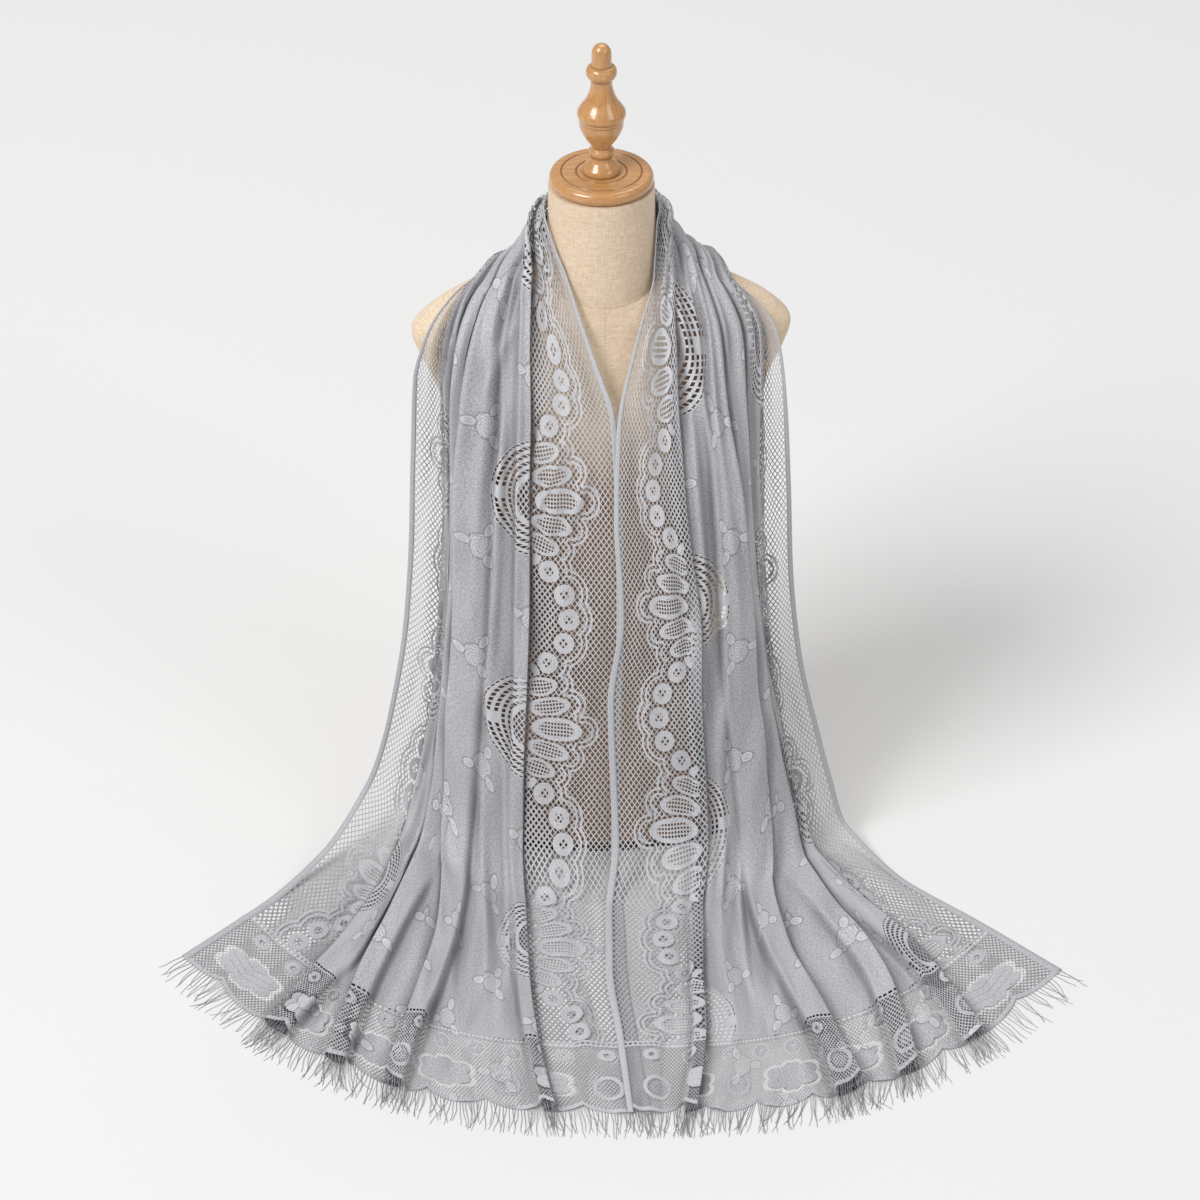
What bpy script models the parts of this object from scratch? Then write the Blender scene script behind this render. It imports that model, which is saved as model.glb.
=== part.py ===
"""Lace shawl worn round the neck of a half-body dress form.

Metres, +Z up. The origin is on the table under the neck, the front is -Y.
The shawl is one straight length of lace. Its path runs from the nape, over
the shoulder, down the front and out over the table to the fringed hem. Each
row across the path is a curve from the inner edge to the outer edge, and
knife pleats fold the cloth along that curve.
"""

import math
from collections import namedtuple

import bmesh
import bpy
import numpy as np

MM = 0.001

# Cloth, mm
CLOTH_WIDTH = 680.0
HALF_PATH = 1155.0
WALL = 1.2
SEAM_GAP = 0.3
STRETCH_GAP = 0.7
FORM_GAP = 1.1
MOST_PUSH = 6.0
STACK_REACH = 4.0
STACK_TAPER = 0.5
BACK_STRETCH = 85.0
FLOOR_LIFT = 0.65
NOSE = 3.2
RISE = 9.0
CLEAR = 1.0
OPEN_STEP = 2.2
NAPE_FLAT = 8.0
NAPE_RIDGE = 32.0
LOW_PATH = 783.0
TABLE_PATH = 940.0

# Fringe, mm
STRANDS_A_SIDE = 96
STRAND_LENGTH = 37.0
STRAND_VARIES = 0.14
STRAND_LEAN = 0.10
ROOT_STRIP = 1.6
TIP_DROP = 0.65
HEM_STEP = 12.0
HEM_SAMPLES = 600
HEM_TURN = 4.0

# Dress form, mm
FORM_TURN = math.radians(3.7)
SLANT_FOOT = 560.0
SEAM_SLANT = 0.28
SEAM_HEIGHT = 630.0
SHOULDER_FOOT = 540.0
BODY_RINGS = 12
SHOULDER_RINGS = 11
FORM_SIDES = 36
NECK_TOP = 721.7
NECK_FOOT_RADIUS = 53.2
NECK_TOP_RADIUS = 50.8
CAP_FOOT = 722.0
CAP_RADIUS = 50.0
CAP_THICK = 13.0
CAP_RIM = 5.5
RIM_STEPS = 6
GROOVE_RADII = (38.6, 24.3)
GROOVE_WIDTH = 1.6
GROOVE_DEPTH = 1.1
FINIAL_FOOT = CAP_FOOT + CAP_THICK + SEAM_GAP
TURNED_STEPS = 22

Section = namedtuple("Section", "name path inner outer bend")
Pleat = namedtuple("Pleat", "name way flat flat_hem edge tuck top")
Level = namedtuple("Level", "name height half front back power")
Turned = namedtuple("Turned", "height radius")

# Rows across the cloth: path from the nape, inner edge and outer edge (x, y, z), and how the row bends back
LEFT_ROWS = (
    Section("nape", 0, (0, 52.9, 700), (0, 96, 588), 1.0),
    Section("back", 42, (-37.7, 37.1, 700), (-38, 90, 590), 1.0),
    Section("neck", 85, (-53, 0, 699), (-76, 74, 594), 1.0),
    Section("shoulder", 172, (-26, -56, 625), (-122, 13, 607), 1.3),
    Section("collar", 236, (-5, -80, 569), (-158, -30, 592), 1.8),
    Section("chest", 310, (15, -100, 509), (-182, -60, 540), 2.4),
    Section("bust", 405, (20, -118, 417), (-186, -60, 452), 3.2),
    Section("ribs", 520, (22, -127, 300), (-191, -60, 347), 3.2),
    Section("waist", 620, (20, -132, 200), (-198, -60, 256), 3.2),
    Section("hip", 721, (18, -140, 100), (-212, -64, 165), 3.2),
    Section("low", 783, (17, -155, 40), (-224, -69, 110), 3.0),
    Section("touch", 840, (22, -200, 0), (-242, -77, 61), 3.0),
    Section("table", 940, (25, -300, 0), (-286, -128, 14), 2.9),
    Section("spread", 1040, (35, -400, 0), (-345, -198, 0), 2.85),
    Section("hem", 1155, (48, -517, 0), (-417, -278, 0), 2.85),
)
RIGHT_ROWS = (
    Section("nape", 0, (0, 52.9, 700), (0, 96, 588), 1.0),
    Section("back", 42, (37.7, 37.1, 700), (38, 90, 590), 1.0),
    Section("neck", 85, (53, 0, 699), (76, 74, 594), 1.0),
    Section("shoulder", 172, (50, -30, 638), (131, 10, 603), 1.3),
    Section("collar", 236, (34, -66, 590), (170, -30, 576), 1.8),
    Section("chest", 310, (15, -104, 512), (180.5, -56, 510), 2.4),
    Section("bust", 405, (12, -121, 420), (185, -59, 426), 3.2),
    Section("ribs", 520, (17, -130, 305), (191, -60, 312), 3.2),
    Section("waist", 620, (6, -135, 205), (200, -61.5, 225), 3.2),
    Section("hip", 721, (9, -143, 104), (219, -65, 133), 3.2),
    Section("low", 783, (11, -158, 44), (235, -74, 70), 3.0),
    Section("touch", 840, (4, -203, 0), (252, -88, 20), 3.0),
    Section("table", 940, (4, -300, 0), (310, -158, 0), 2.9),
    Section("spread", 1040, (14, -400, 0), (379, -223, 0), 2.85),
    Section("hem", 1155, (25, -517, 0), (456, -300, 0), 2.85),
)

# Each pleat column below is read at these path distances
FOLD_LEVELS = (0, 85, 172, 310, 405, 620, 783, 940, 1155)
# Spacing of a pleat's three layers, and how far the inner edge of the right half lies over the left
LAYER_PITCH = (3.2, 3.2, 3.2, 3.0, 3.0, 3.0, 3.0, 3.2, 3.2)
RIGHT_INNER_LIFT = (0, 0, 0, 0.5, 0.5, 0.5, 1.5, 2.8, 2.8)
INNER_SHARE = 0.4

# Pleats: way +1 lays the inner side on top, -1 the outer side, 0 is one soft trough.
# Flat places of the two turnings, then edge place across the row, tuck and top by level.
LEFT_PLEATS = (
    Pleat("inner", -1, (116, 102), (118, 104),
          (0.18, 0.18, 0.387, 0.42, 0.434, 0.432, 0.40, 0.312, 0.195),
          (8, 8, 8, 9, 11, 12, 12, 12, 14),
          (9, 9, 9, 4, 4, 4, 4, 8, 10)),
    Pleat("trough", 0, (158,), (235,),
          (0.34, 0.34, 0.60, 0.575, 0.60, 0.62, 0.59, 0.507, 0.425),
          (0, 0, 0, 0, 0, 0, 0, 0, 0),
          (2, 2, 2, -3, -4, -4, -3, 0, 0)),
    Pleat("deep", 1, (198, 262), (322, 340),
          (0.52, 0.52, 0.76, 0.764, 0.790, 0.788, 0.739, 0.617, 0.554),
          (12, 12, 12, 28, 30, 30, 28, 20, 20),
          (9, 9, 9, 4, 3, 3, 3, 10, 12)),
    Pleat("under", 1, (335, 400), (415, 432),
          (0.70, 0.70, 0.87, 0.82, 0.826, 0.824, 0.80, 0.768, 0.677),
          (12, 12, 8, 22, 28, 28, 24, 18, 20),
          (9, 9, 8, -2, -3, -3, -3, 9, 11)),
    Pleat("outer", 1, (598, 618), (530, 556),
          (0.88, 0.88, 0.955, 0.885, 0.881, 0.876, 0.869, 0.829, 0.812),
          (12, 12, 5, 10, 12, 12, 12, 20, 24),
          (9, 9, 8, -8, -9, -9, -9, 7, 9)),
)
RIGHT_PLEATS = (
    Pleat("inner", 1, (100, 114), (88, 104),
          (0.18, 0.18, 0.20, 0.364, 0.412, 0.480, 0.433, 0.318, 0.153),
          (8, 8, 8, 9, 11, 12, 12, 12, 14),
          (9, 9, 9, 4, 4, 4, 4, 8, 10)),
    Pleat("trough", 0, (150,), (224,),
          (0.34, 0.34, 0.345, 0.506, 0.550, 0.573, 0.559, 0.462, 0.344),
          (0, 0, 0, 0, 0, 0, 0, 0, 0),
          (2, 2, 2, -3, -4, -4, -3, 0, 0)),
    Pleat("deep", 1, (192, 262), (326, 350),
          (0.52, 0.52, 0.54, 0.649, 0.721, 0.771, 0.723, 0.601, 0.526),
          (12, 12, 9, 14, 22, 30, 28, 22, 30),
          (9, 9, 9, 4, 3, 3, 3, 11, 14)),
    Pleat("under", 1, (335, 400), (444, 464),
          (0.70, 0.70, 0.72, 0.764, 0.793, 0.832, 0.836, 0.804, 0.653),
          (12, 12, 12, 20, 28, 28, 24, 18, 22),
          (9, 9, 9, -2, -3, -3, -3, 9, 11)),
    Pleat("outer", 1, (598, 618), (560, 584),
          (0.88, 0.88, 0.90, 0.89, 0.889, 0.885, 0.886, 0.879, 0.808),
          (12, 12, 8, 10, 12, 12, 12, 14, 22),
          (9, 9, 8, -8, -9, -9, -9, 8, 10)),
)

# Torso sections: half width, depth to the front and to the back, and the power of the oval
TORSO_LEVELS = (
    Level("base", 0, 158, 108, 104, 2.4),
    Level("foot", 30, 163, 110, 108, 2.4),
    Level("hip", 80, 164, 109, 112, 2.35),
    Level("belly", 140, 150, 103, 106, 2.3),
    Level("waist", 210, 122, 92, 84, 2.2),
    Level("ribs", 280, 126, 96, 82, 2.2),
    Level("under_bust", 340, 140, 105, 88, 2.25),
    Level("bust", 395, 150, 110, 94, 2.3),
    Level("chest", 440, 151, 105, 98, 2.3),
    Level("armhole", 486, 156, 93, 100, 2.25),
    Level("upper_chest", 520, 167, 81, 98, 2.2),
    Level("arm", 545, 179, 72, 94, 2.15),
    Level("shoulder_point", 566, 185, 66, 86, 2.05),
    Level("shoulder", 582, 172, 62, 76, 1.95),
    Level("slope", 596, 150, 59.5, 68, 1.85),
    Level("yoke", 609, 114, 57.5, 62, 1.85),
    Level("collar", 620, 80, 55, 57, 1.95),
    Level("seam", 630, 54.5, 53.6, 54, 2.0),
)

# Turned knob: height above its foot and radius, top to bottom
FINIAL_PROFILE = (
    Turned(135.0, 0.0),
    Turned(134.2, 4.2),
    Turned(131.0, 7.6),
    Turned(126.0, 9.4),
    Turned(113.0, 9.7),
    Turned(111.5, 12.4),
    Turned(108.5, 14.4),
    Turned(105.0, 14.8),
    Turned(101.0, 13.4),
    Turned(98.5, 10.4),
    Turned(93.0, 10.3),
    Turned(84.0, 12.2),
    Turned(76.0, 15.6),
    Turned(69.0, 20.4),
    Turned(64.5, 22.9),
    Turned(61.5, 23.3),
    Turned(59.0, 22.6),
    Turned(57.6, 22.0),
    Turned(55.6, 21.9),
    Turned(54.4, 21.2),
    Turned(50.0, 21.1),
    Turned(43.0, 19.0),
    Turned(36.0, 15.0),
    Turned(30.0, 10.8),
    Turned(27.0, 9.5),
    Turned(25.0, 10.2),
    Turned(23.5, 12.0),
    Turned(20.5, 12.3),
    Turned(18.3, 11.4),
    Turned(17.0, 10.8),
    Turned(15.0, 10.9),
    Turned(13.0, 11.6),
    Turned(9.0, 14.4),
    Turned(5.0, 17.6),
    Turned(2.0, 18.5),
    Turned(0.0, 18.2),
    Turned(0.0, 0.0),
)

# Path distances of the rows that the walls are built on
FRONT_PATHS = (
    85, 104, 122, 139, 156, 172, 193, 214, 236, 260, 285, 310, 356, 405, 470, 545, 620,
    670, 721, 752, 783, 808, 828, 848, 872, 906, 940, 990, 1040, 1098, 1155,
)
BACK_PATHS = (-85, -70, -56, -42, -28, -14, 0, 14, 28, 42, 56, 70, 85)

CLOTH_GREY = (0.33, 0.33, 0.36, 1.0)
LINEN = (0.66, 0.55, 0.40, 1.0)
WOOD = (0.62, 0.30, 0.10, 1.0)


def smooth_curve(knots, values, places):
    """Monotone cubic through the knots, which never overshoots."""
    knots = np.asarray(knots, float)
    values = np.asarray(values, float)
    places = np.asarray(places, float)
    column = (-1,) + (1,) * (values.ndim - 1)
    steps = np.diff(knots).reshape(column)
    slopes = np.diff(values, axis=0) / steps
    before, after = slopes[:-1], slopes[1:]
    weight_before = 2 * steps[1:] + steps[:-1]
    weight_after = steps[1:] + 2 * steps[:-1]
    same_way = before * after > 0
    safe_before = np.where(same_way, before, 1.0)
    safe_after = np.where(same_way, after, 1.0)
    mean = (weight_before + weight_after) / (weight_before / safe_before + weight_after / safe_after)
    tangents = np.empty_like(values)
    tangents[1:-1] = np.where(same_way, mean, 0.0)
    tangents[0] = slopes[0]
    tangents[-1] = slopes[-1]
    left = np.clip(np.searchsorted(knots, places, side="right") - 1, 0, len(knots) - 2)
    spread = places.shape + (1,) * (values.ndim - 1)
    step = (knots[left + 1] - knots[left]).reshape(spread)
    along = (places - knots[left]).reshape(spread) / step
    start = (2 * along**3 - 3 * along**2 + 1) * values[left]
    start_pull = (along**3 - 2 * along**2 + along) * step * tangents[left]
    end = (3 * along**2 - 2 * along**3) * values[left + 1]
    end_pull = (along**3 - along**2) * step * tangents[left + 1]
    return start + start_pull + end + end_pull


def at_level(column, path):
    """A pleat column read at a path distance, the same on both sides of the nape."""
    return float(smooth_curve(FOLD_LEVELS, column, abs(path)))


def row_table(rows):
    """Paths, inner and outer edges and bends, with the rows behind the nape mirrored in."""
    mirror = np.array([-1.0, 1.0, 1.0])
    behind = [row for row in rows if 0 < row.path <= BACK_STRETCH][::-1]
    paths = [-row.path for row in behind] + [row.path for row in rows]
    inner = [mirror * row.inner for row in behind] + [np.array(row.inner, float) for row in rows]
    outer = [mirror * row.outer for row in behind] + [np.array(row.outer, float) for row in rows]
    bends = [row.bend for row in behind] + [row.bend for row in rows]
    return paths, np.array(inner), np.array(outer), bends


def base_points(table, path, places):
    """Points along one row, before pleats: place 0 is the inner edge and 1 the outer."""
    paths, inner, outer, bends = table
    start = smooth_curve(paths, inner, path)
    end = smooth_curve(paths, outer, path)
    bend = float(smooth_curve(paths, bends, path))
    drop = np.sign(places) * np.abs(places) ** bend
    shares = np.stack([places, drop, drop], axis=-1)
    return start + (end - start) * shares


def row_width(table, path):
    """Length of a row's curve."""
    points = base_points(table, path, np.linspace(0, 1, 33))
    return float(np.linalg.norm(np.diff(points, axis=0), axis=1).sum())


def knife_points(pleat, path, width, ground):
    """Nine points of one knife pleat as (place, lift, flat or None), from the top layer's side."""
    edge = at_level(pleat.edge, path)
    tuck = at_level(pleat.tuck, path) / width
    top = at_level(pleat.top, path)
    pitch = at_level(LAYER_PITCH, path)
    lying = min(max((abs(path) - LOW_PATH) / (TABLE_PATH - LOW_PATH), 0.0), 1.0)
    pitch += (max(0.5 * top, pitch) - pitch) * lying
    nose = min(NOSE / width, 0.4 * tuck)
    first, second = flat_places(pleat, path)
    way = pleat.way
    points = [
        [edge - way * (tuck + RISE / width), ground, None],
        [edge - way * (tuck + CLEAR / width), top, None],
        [edge - way * nose, top, None],
        [edge, top - 0.25 * pitch, first],
        [edge - way * nose, top - pitch, None],
        [edge - way * (tuck - nose), top - pitch, None],
        [edge - way * tuck, top - 1.5 * pitch, second],
        [edge - way * (tuck - nose), top - 2 * pitch, None],
        [edge + way * CLEAR / width, top - 2 * pitch, None],
    ]
    if pleat.name != "inner":
        return points
    raised = smooth_share((abs(path) - NAPE_FLAT) / (NAPE_RIDGE - NAPE_FLAT))
    folded = smooth_share((abs(path) - NAPE_RIDGE) / (BACK_STRETCH - NAPE_RIDGE))
    for index, point in enumerate(points):
        open_place = edge + way * (index - 4) * OPEN_STEP / width
        point[0] = open_place + (point[0] - open_place) * folded
        point[1] = ground + (point[1] - ground) * raised
    return points


def smooth_share(value):
    """Eases from 0 to 1."""
    value = min(max(value, 0.0), 1.0)
    return value * value * (3 - 2 * value)


def flat_places(pleat, path):
    """Where the pleat's turnings lie across the flat cloth, which drifts towards the hem."""
    waist, hem = FOLD_LEVELS[5], FOLD_LEVELS[-1]
    share = min(max((abs(path) - waist) / (hem - waist), 0.0), 1.0)
    upper = np.array(pleat.flat, float)
    return tuple(upper + (np.array(pleat.flat_hem, float) - upper) * share)


def cross_points(pleats, table, path, inner_lift):
    """Every control point across one row: place, lift and flat distance from the inner edge."""
    width = row_width(table, path)
    lift = at_level(inner_lift, path)
    points = [[0.0, lift, 0.0]]
    for index, pleat in enumerate(pleats):
        if pleat.way == 0:
            points.append([at_level(pleat.edge, path), at_level(pleat.top, path), flat_places(pleat, path)[0]])
            continue
        if pleat.way > 0:
            ground = 0.0 if index == 0 else points[-1][1]
            knife = knife_points(pleat, path, width, ground)
        else:
            ground = at_level(pleats[index + 1].top, path)
            knife = knife_points(pleat, path, width, ground)[::-1]
        if index == 0:
            points.append([INNER_SHARE * knife[0][0], lift, None])
        least = 0.5 / width
        for point in knife[:2]:
            if pleat.way > 0:
                point[0] = min(max(point[0], points[-1][0] + least), knife[2][0] - least)
                points.append(point)
        points.extend(knife[2:] if pleat.way > 0 else knife)
    points.append([0.5 * (points[-1][0] + 1.0), 0.5 * points[-1][1], None])
    points.append([1.0, 0.0, CLOTH_WIDTH])
    return fill_flat(np.array([[p[0], p[1]] for p in points]), [p[2] for p in points], width)


def fill_flat(places, flats, width):
    """Flat distances between the known ones, shared out by the length of the folded row."""
    steps = np.hypot(np.diff(places[:, 0]) * width, np.diff(places[:, 1]))
    run = np.concatenate([[0.0], np.cumsum(steps)])
    known = [index for index, flat in enumerate(flats) if flat is not None]
    filled = np.interp(run, run[known], [flats[index] for index in known])
    return np.column_stack([places, filled])


def base_normals(table, path, places, side):
    """Unit normals of the unpleated cloth, away from the form."""
    small_place, small_path = 0.01, 2.0
    across = base_points(table, path, places + small_place) - base_points(table, path, places - small_place)
    along = base_points(table, path + small_path, places) - base_points(table, path - small_path, places)
    normals = side * np.cross(across, along)
    return normals / np.linalg.norm(normals, axis=-1, keepdims=True)


def torso_values(height):
    """Half width, front, back and power of the torso's oval at each height."""
    heights = [level.height for level in TORSO_LEVELS]
    table = [[level.half, level.front, level.back, level.power] for level in TORSO_LEVELS]
    return smooth_curve(heights, table, np.clip(height, heights[0], heights[-1]))


def slant_at(height):
    """Share of the neck seam's slant that a height takes."""
    return np.clip((height - SLANT_FOOT) / (SEAM_HEIGHT - SLANT_FOOT), 0.0, 1.0)


def form_fill(points):
    """Above 0 inside the dress form, in shares of its radius, and below 0 outside."""
    turn = np.array([
        [math.cos(FORM_TURN), math.sin(FORM_TURN)],
        [-math.sin(FORM_TURN), math.cos(FORM_TURN)],
    ])
    flat = points[..., :2] @ turn.T
    height = points[..., 2] - SEAM_SLANT * flat[..., 1] * slant_at(points[..., 2])
    values = torso_values(height)
    depth = np.where(flat[..., 1] < 0, values[..., 1], values[..., 2])
    power = values[..., 3]
    oval = (np.abs(flat[..., 0]) / values[..., 0]) ** power + (np.abs(flat[..., 1]) / depth) ** power
    torso = np.where(height < SEAM_HEIGHT, 1 - oval ** (1 / power), -1.0)
    neck = 1 - np.hypot(points[..., 0], points[..., 1]) / NECK_FOOT_RADIUS
    return np.where(points[..., 2] > SEAM_HEIGHT - 20, np.maximum(torso, neck), torso)


def form_shortage(points):
    """How much nearer than FORM_GAP to the form, or how far inside it, each point is."""
    small = 0.5
    here = form_fill(points)
    slope = np.empty_like(points)
    for axis in range(3):
        shift = np.zeros(3)
        shift[axis] = small
        slope[..., axis] = (form_fill(points + shift) - form_fill(points - shift)) / (2 * small)
    steep = np.maximum(np.linalg.norm(slope, axis=-1), 1e-6)
    short = np.clip(FORM_GAP + here / steep, 0.0, MOST_PUSH)
    return np.where(here > -0.2, short, 0.0)


def stack_push(points, normals, run):
    """How far out each point of a row moves so that all the layers at its place clear the form."""
    away = np.clip(np.abs(run[:, None] - run[None, :]) - STACK_REACH, 0.0, None)
    push = np.zeros(len(points))
    for _ in range(8):
        push = push + form_shortage(points + normals * push[:, None])
        push = np.max(push[None, :] - STACK_TAPER * away, axis=1)
    return push


def cloth_rows(pleats, rows, inner_lift, side, paths, samples):
    """Grid of cloth points in mm, one line for each path distance."""
    table = row_table(rows)
    grid = []
    for path in paths:
        controls = cross_points(pleats, table, path, inner_lift)
        stops = np.arange(len(controls))
        line = smooth_curve(stops, controls, np.asarray(samples))
        normals = base_normals(table, path, line[:, 0], side)
        points = base_points(table, path, line[:, 0]) + normals * line[:, 1:2]
        push = stack_push(points, normals, line[:, 0] * row_width(table, path))
        grid.append(points + normals * push[:, None])
    grid = np.array(grid)
    grid[..., 2] = np.maximum(grid[..., 2], 0.0) + FLOOR_LIFT
    return grid


def sample_stops(pleats):
    """Column places along the control points: broad strips get more, each pleat goes without two."""
    stops = [0, 1]
    here = 1
    for pleat in pleats:
        if pleat.way == 0:
            stops.extend([here + 0.5, here + 1])
            here += 1
            continue
        left_out = (3, 8) if pleat.way > 0 else (2, 7)
        if pleat.name == "inner":
            stops.extend([here + 1 / 3, here + 2 / 3])
        if pleat.name == "deep":
            stops.append(here + 0.5)
        stops.extend(here + step for step in range(1, 10) if step not in left_out)
        here += 9
    return stops + [here + 1, here + 2]


def collection_named(name, hidden=False):
    """A new collection in the scene."""
    made = bpy.data.collections.new(name)
    made.hide_render = hidden
    bpy.context.scene.collection.children.link(made)
    return made


def principled(name, colour, roughness, sheen=0.0):
    """A plain Principled material."""
    material = bpy.data.materials.new(name)
    material.use_nodes = True
    shader = material.node_tree.nodes["Principled BSDF"]
    shader.inputs["Base Color"].default_value = colour
    shader.inputs["Roughness"].default_value = roughness
    shader.inputs["Metallic"].default_value = 0.0
    shader.inputs["Sheen Weight"].default_value = sheen
    return material


def add_mesh(name, mesh_maker, material, collection):
    """A mesh object from a bmesh, shaded smooth."""
    work = bmesh.new()
    mesh_maker(work)
    bmesh.ops.recalc_face_normals(work, faces=work.faces)
    if work.calc_volume(signed=True) < 0 and not any(edge.is_boundary or edge.is_wire for edge in work.edges):
        bmesh.ops.reverse_faces(work, faces=work.faces)
    mesh = bpy.data.meshes.new(name)
    work.to_mesh(mesh)
    work.free()
    mesh.shade_smooth()
    mesh.set_sharp_from_angle(angle=math.radians(50))
    mesh.materials.append(material)
    made = bpy.data.objects.new(name, mesh)
    collection.objects.link(made)
    return made


def grid_faces(work, grid, closed=False):
    """Quads over a grid of points in mm, and its vertices."""
    lines = [[work.verts.new(point * MM) for point in line] for line in grid]
    for line, following in zip(lines, lines[1:]):
        pairs = list(zip(line, line[1:] + line[:1])) if closed else list(zip(line, line[1:]))
        next_pairs = (
            list(zip(following, following[1:] + following[:1]))
            if closed
            else list(zip(following, following[1:]))
        )
        for (a, b), (c, d) in zip(pairs, next_pairs):
            work.faces.new((a, b, d, c))
    return lines


def sheet_mesh(work, grid):
    """An open sheet whose diagonals are fixed here, so that both sides of its wall share them."""
    grid_faces(work, grid)
    bmesh.ops.triangulate(work, faces=work.faces, quad_method="SHORT_EDGE")


def add_cloth(name, grid, material, collection):
    """A cloth wall: an open sheet with a Solidify."""
    made = add_mesh(name, lambda work: sheet_mesh(work, grid), material, collection)
    wall = made.modifiers.new("wall", "SOLIDIFY")
    wall.thickness = WALL * MM
    wall.offset = 0.0
    wall.use_rim = True
    return made


def oval_ring(values, height, sides):
    """One ring of the torso, turned with the form and slanted near the neck seam."""
    half, front, back, power = values
    angles = np.linspace(0, 2 * math.pi, sides, endpoint=False)
    cosine, sine = np.cos(angles), np.sin(angles)
    x = half * np.sign(cosine) * np.abs(cosine) ** (2 / power)
    y = np.where(sine < 0, front, back) * np.sign(sine) * np.abs(sine) ** (2 / power)
    z = height + SEAM_SLANT * y * slant_at(height)
    turned_x = x * math.cos(FORM_TURN) - y * math.sin(FORM_TURN)
    turned_y = x * math.sin(FORM_TURN) + y * math.cos(FORM_TURN)
    return np.column_stack([turned_x, turned_y, z])


def lofted_solid(work, rings):
    """A closed loft through rings of equal count, capped at both ends."""
    lines = grid_faces(work, rings, closed=True)
    work.faces.new(lines[0][::-1])
    work.faces.new(lines[-1])


def add_torso(material, collection):
    """Linen-covered half body with a flat base."""
    heights = np.concatenate([
        np.linspace(0, SHOULDER_FOOT, BODY_RINGS, endpoint=False),
        np.linspace(SHOULDER_FOOT, SEAM_HEIGHT, SHOULDER_RINGS),
    ])
    rings = [oval_ring(torso_values(height), height, FORM_SIDES) for height in heights]
    return add_mesh("form_torso", lambda work: lofted_solid(work, rings), material, collection)


def add_neck(material, collection):
    """Neck that stands on the slanted seam and carries the cap."""
    foot = oval_ring(torso_values(SEAM_HEIGHT), SEAM_HEIGHT, FORM_SIDES)
    foot[:, 2] += SEAM_GAP
    angles = np.arctan2(foot[:, 1], foot[:, 0])
    rings = [foot]
    for share in (0.25, 0.6, 1.0):
        radius = NECK_FOOT_RADIUS + (NECK_TOP_RADIUS - NECK_FOOT_RADIUS) * share
        height = foot[:, 2] + (NECK_TOP - foot[:, 2]) * share
        rings.append(np.column_stack([radius * np.cos(angles), radius * np.sin(angles), height]))
    return add_mesh("form_neck", lambda work: lofted_solid(work, rings), material, collection)


def add_turned(name, profile, foot, material, collection):
    """A turned piece: its half profile, top to bottom, with a Screw."""
    def outline(work):
        verts = [work.verts.new((radius * MM, 0, (foot + height) * MM)) for height, radius in profile]
        for a, b in zip(verts, verts[1:]):
            work.edges.new((a, b))
    made = add_mesh(name, outline, material, collection)
    turn = made.modifiers.new("turn", "SCREW")
    turn.steps = TURNED_STEPS
    turn.render_steps = TURNED_STEPS
    turn.use_merge_vertices = True
    turn.merge_threshold = 0.00001
    return made


def cap_profile():
    """Half profile of the neck cap, with two grooves in its top and a rounded rim."""
    top = CAP_THICK
    points = [Turned(top, 0.0)]
    for radius in sorted(GROOVE_RADII):
        points.append(Turned(top, radius - GROOVE_WIDTH / 2))
        points.append(Turned(top - GROOVE_DEPTH, radius))
        points.append(Turned(top, radius + GROOVE_WIDTH / 2))
    half = CAP_THICK / 2
    for step in range(RIM_STEPS + 1):
        angle = math.pi * (0.5 - step / RIM_STEPS)
        points.append(Turned(half + half * math.sin(angle), CAP_RADIUS - CAP_RIM + CAP_RIM * math.cos(angle)))
    points.append(Turned(0.0, 0.0))
    return points


def hem_points(pleats, rows, inner_lift, side, count):
    """Points along the hem, closer in its turnings, with the way out of the cloth and the normal at each."""
    stops = np.linspace(0, 1, HEM_SAMPLES)
    last = len(cross_points(pleats, row_table(rows), HALF_PATH, inner_lift)) - 1
    grid = cloth_rows(pleats, rows, inner_lift, side, (HALF_PATH - HEM_STEP, HALF_PATH), stops * last)
    before, hem = grid
    steps = np.diff(hem, axis=0)
    lengths = np.linalg.norm(steps, axis=1)
    ways = steps / lengths[:, None]
    turns = np.arccos(np.clip(np.sum(ways[1:] * ways[:-1], axis=1), -1.0, 1.0))
    spacing = lengths + HEM_TURN * np.concatenate([[0.0], turns])
    run = np.concatenate([[0.0], np.cumsum(spacing)])
    even = np.linspace(run[0], run[-1], count)
    tangents = np.concatenate([ways[:1], 0.5 * (ways[1:] + ways[:-1]), ways[-1:]])
    hem_even, before_even, tangent_even = (
        np.column_stack([np.interp(even, run, values[:, axis]) for axis in range(3)])
        for values in (hem, before, tangents)
    )
    out = hem_even - before_even
    out[:, 2] = 0.0
    out /= np.linalg.norm(out, axis=1, keepdims=True)
    normals = -side * np.cross(out, tangent_even)
    return hem_even, out, normals / np.linalg.norm(normals, axis=1, keepdims=True)


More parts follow.
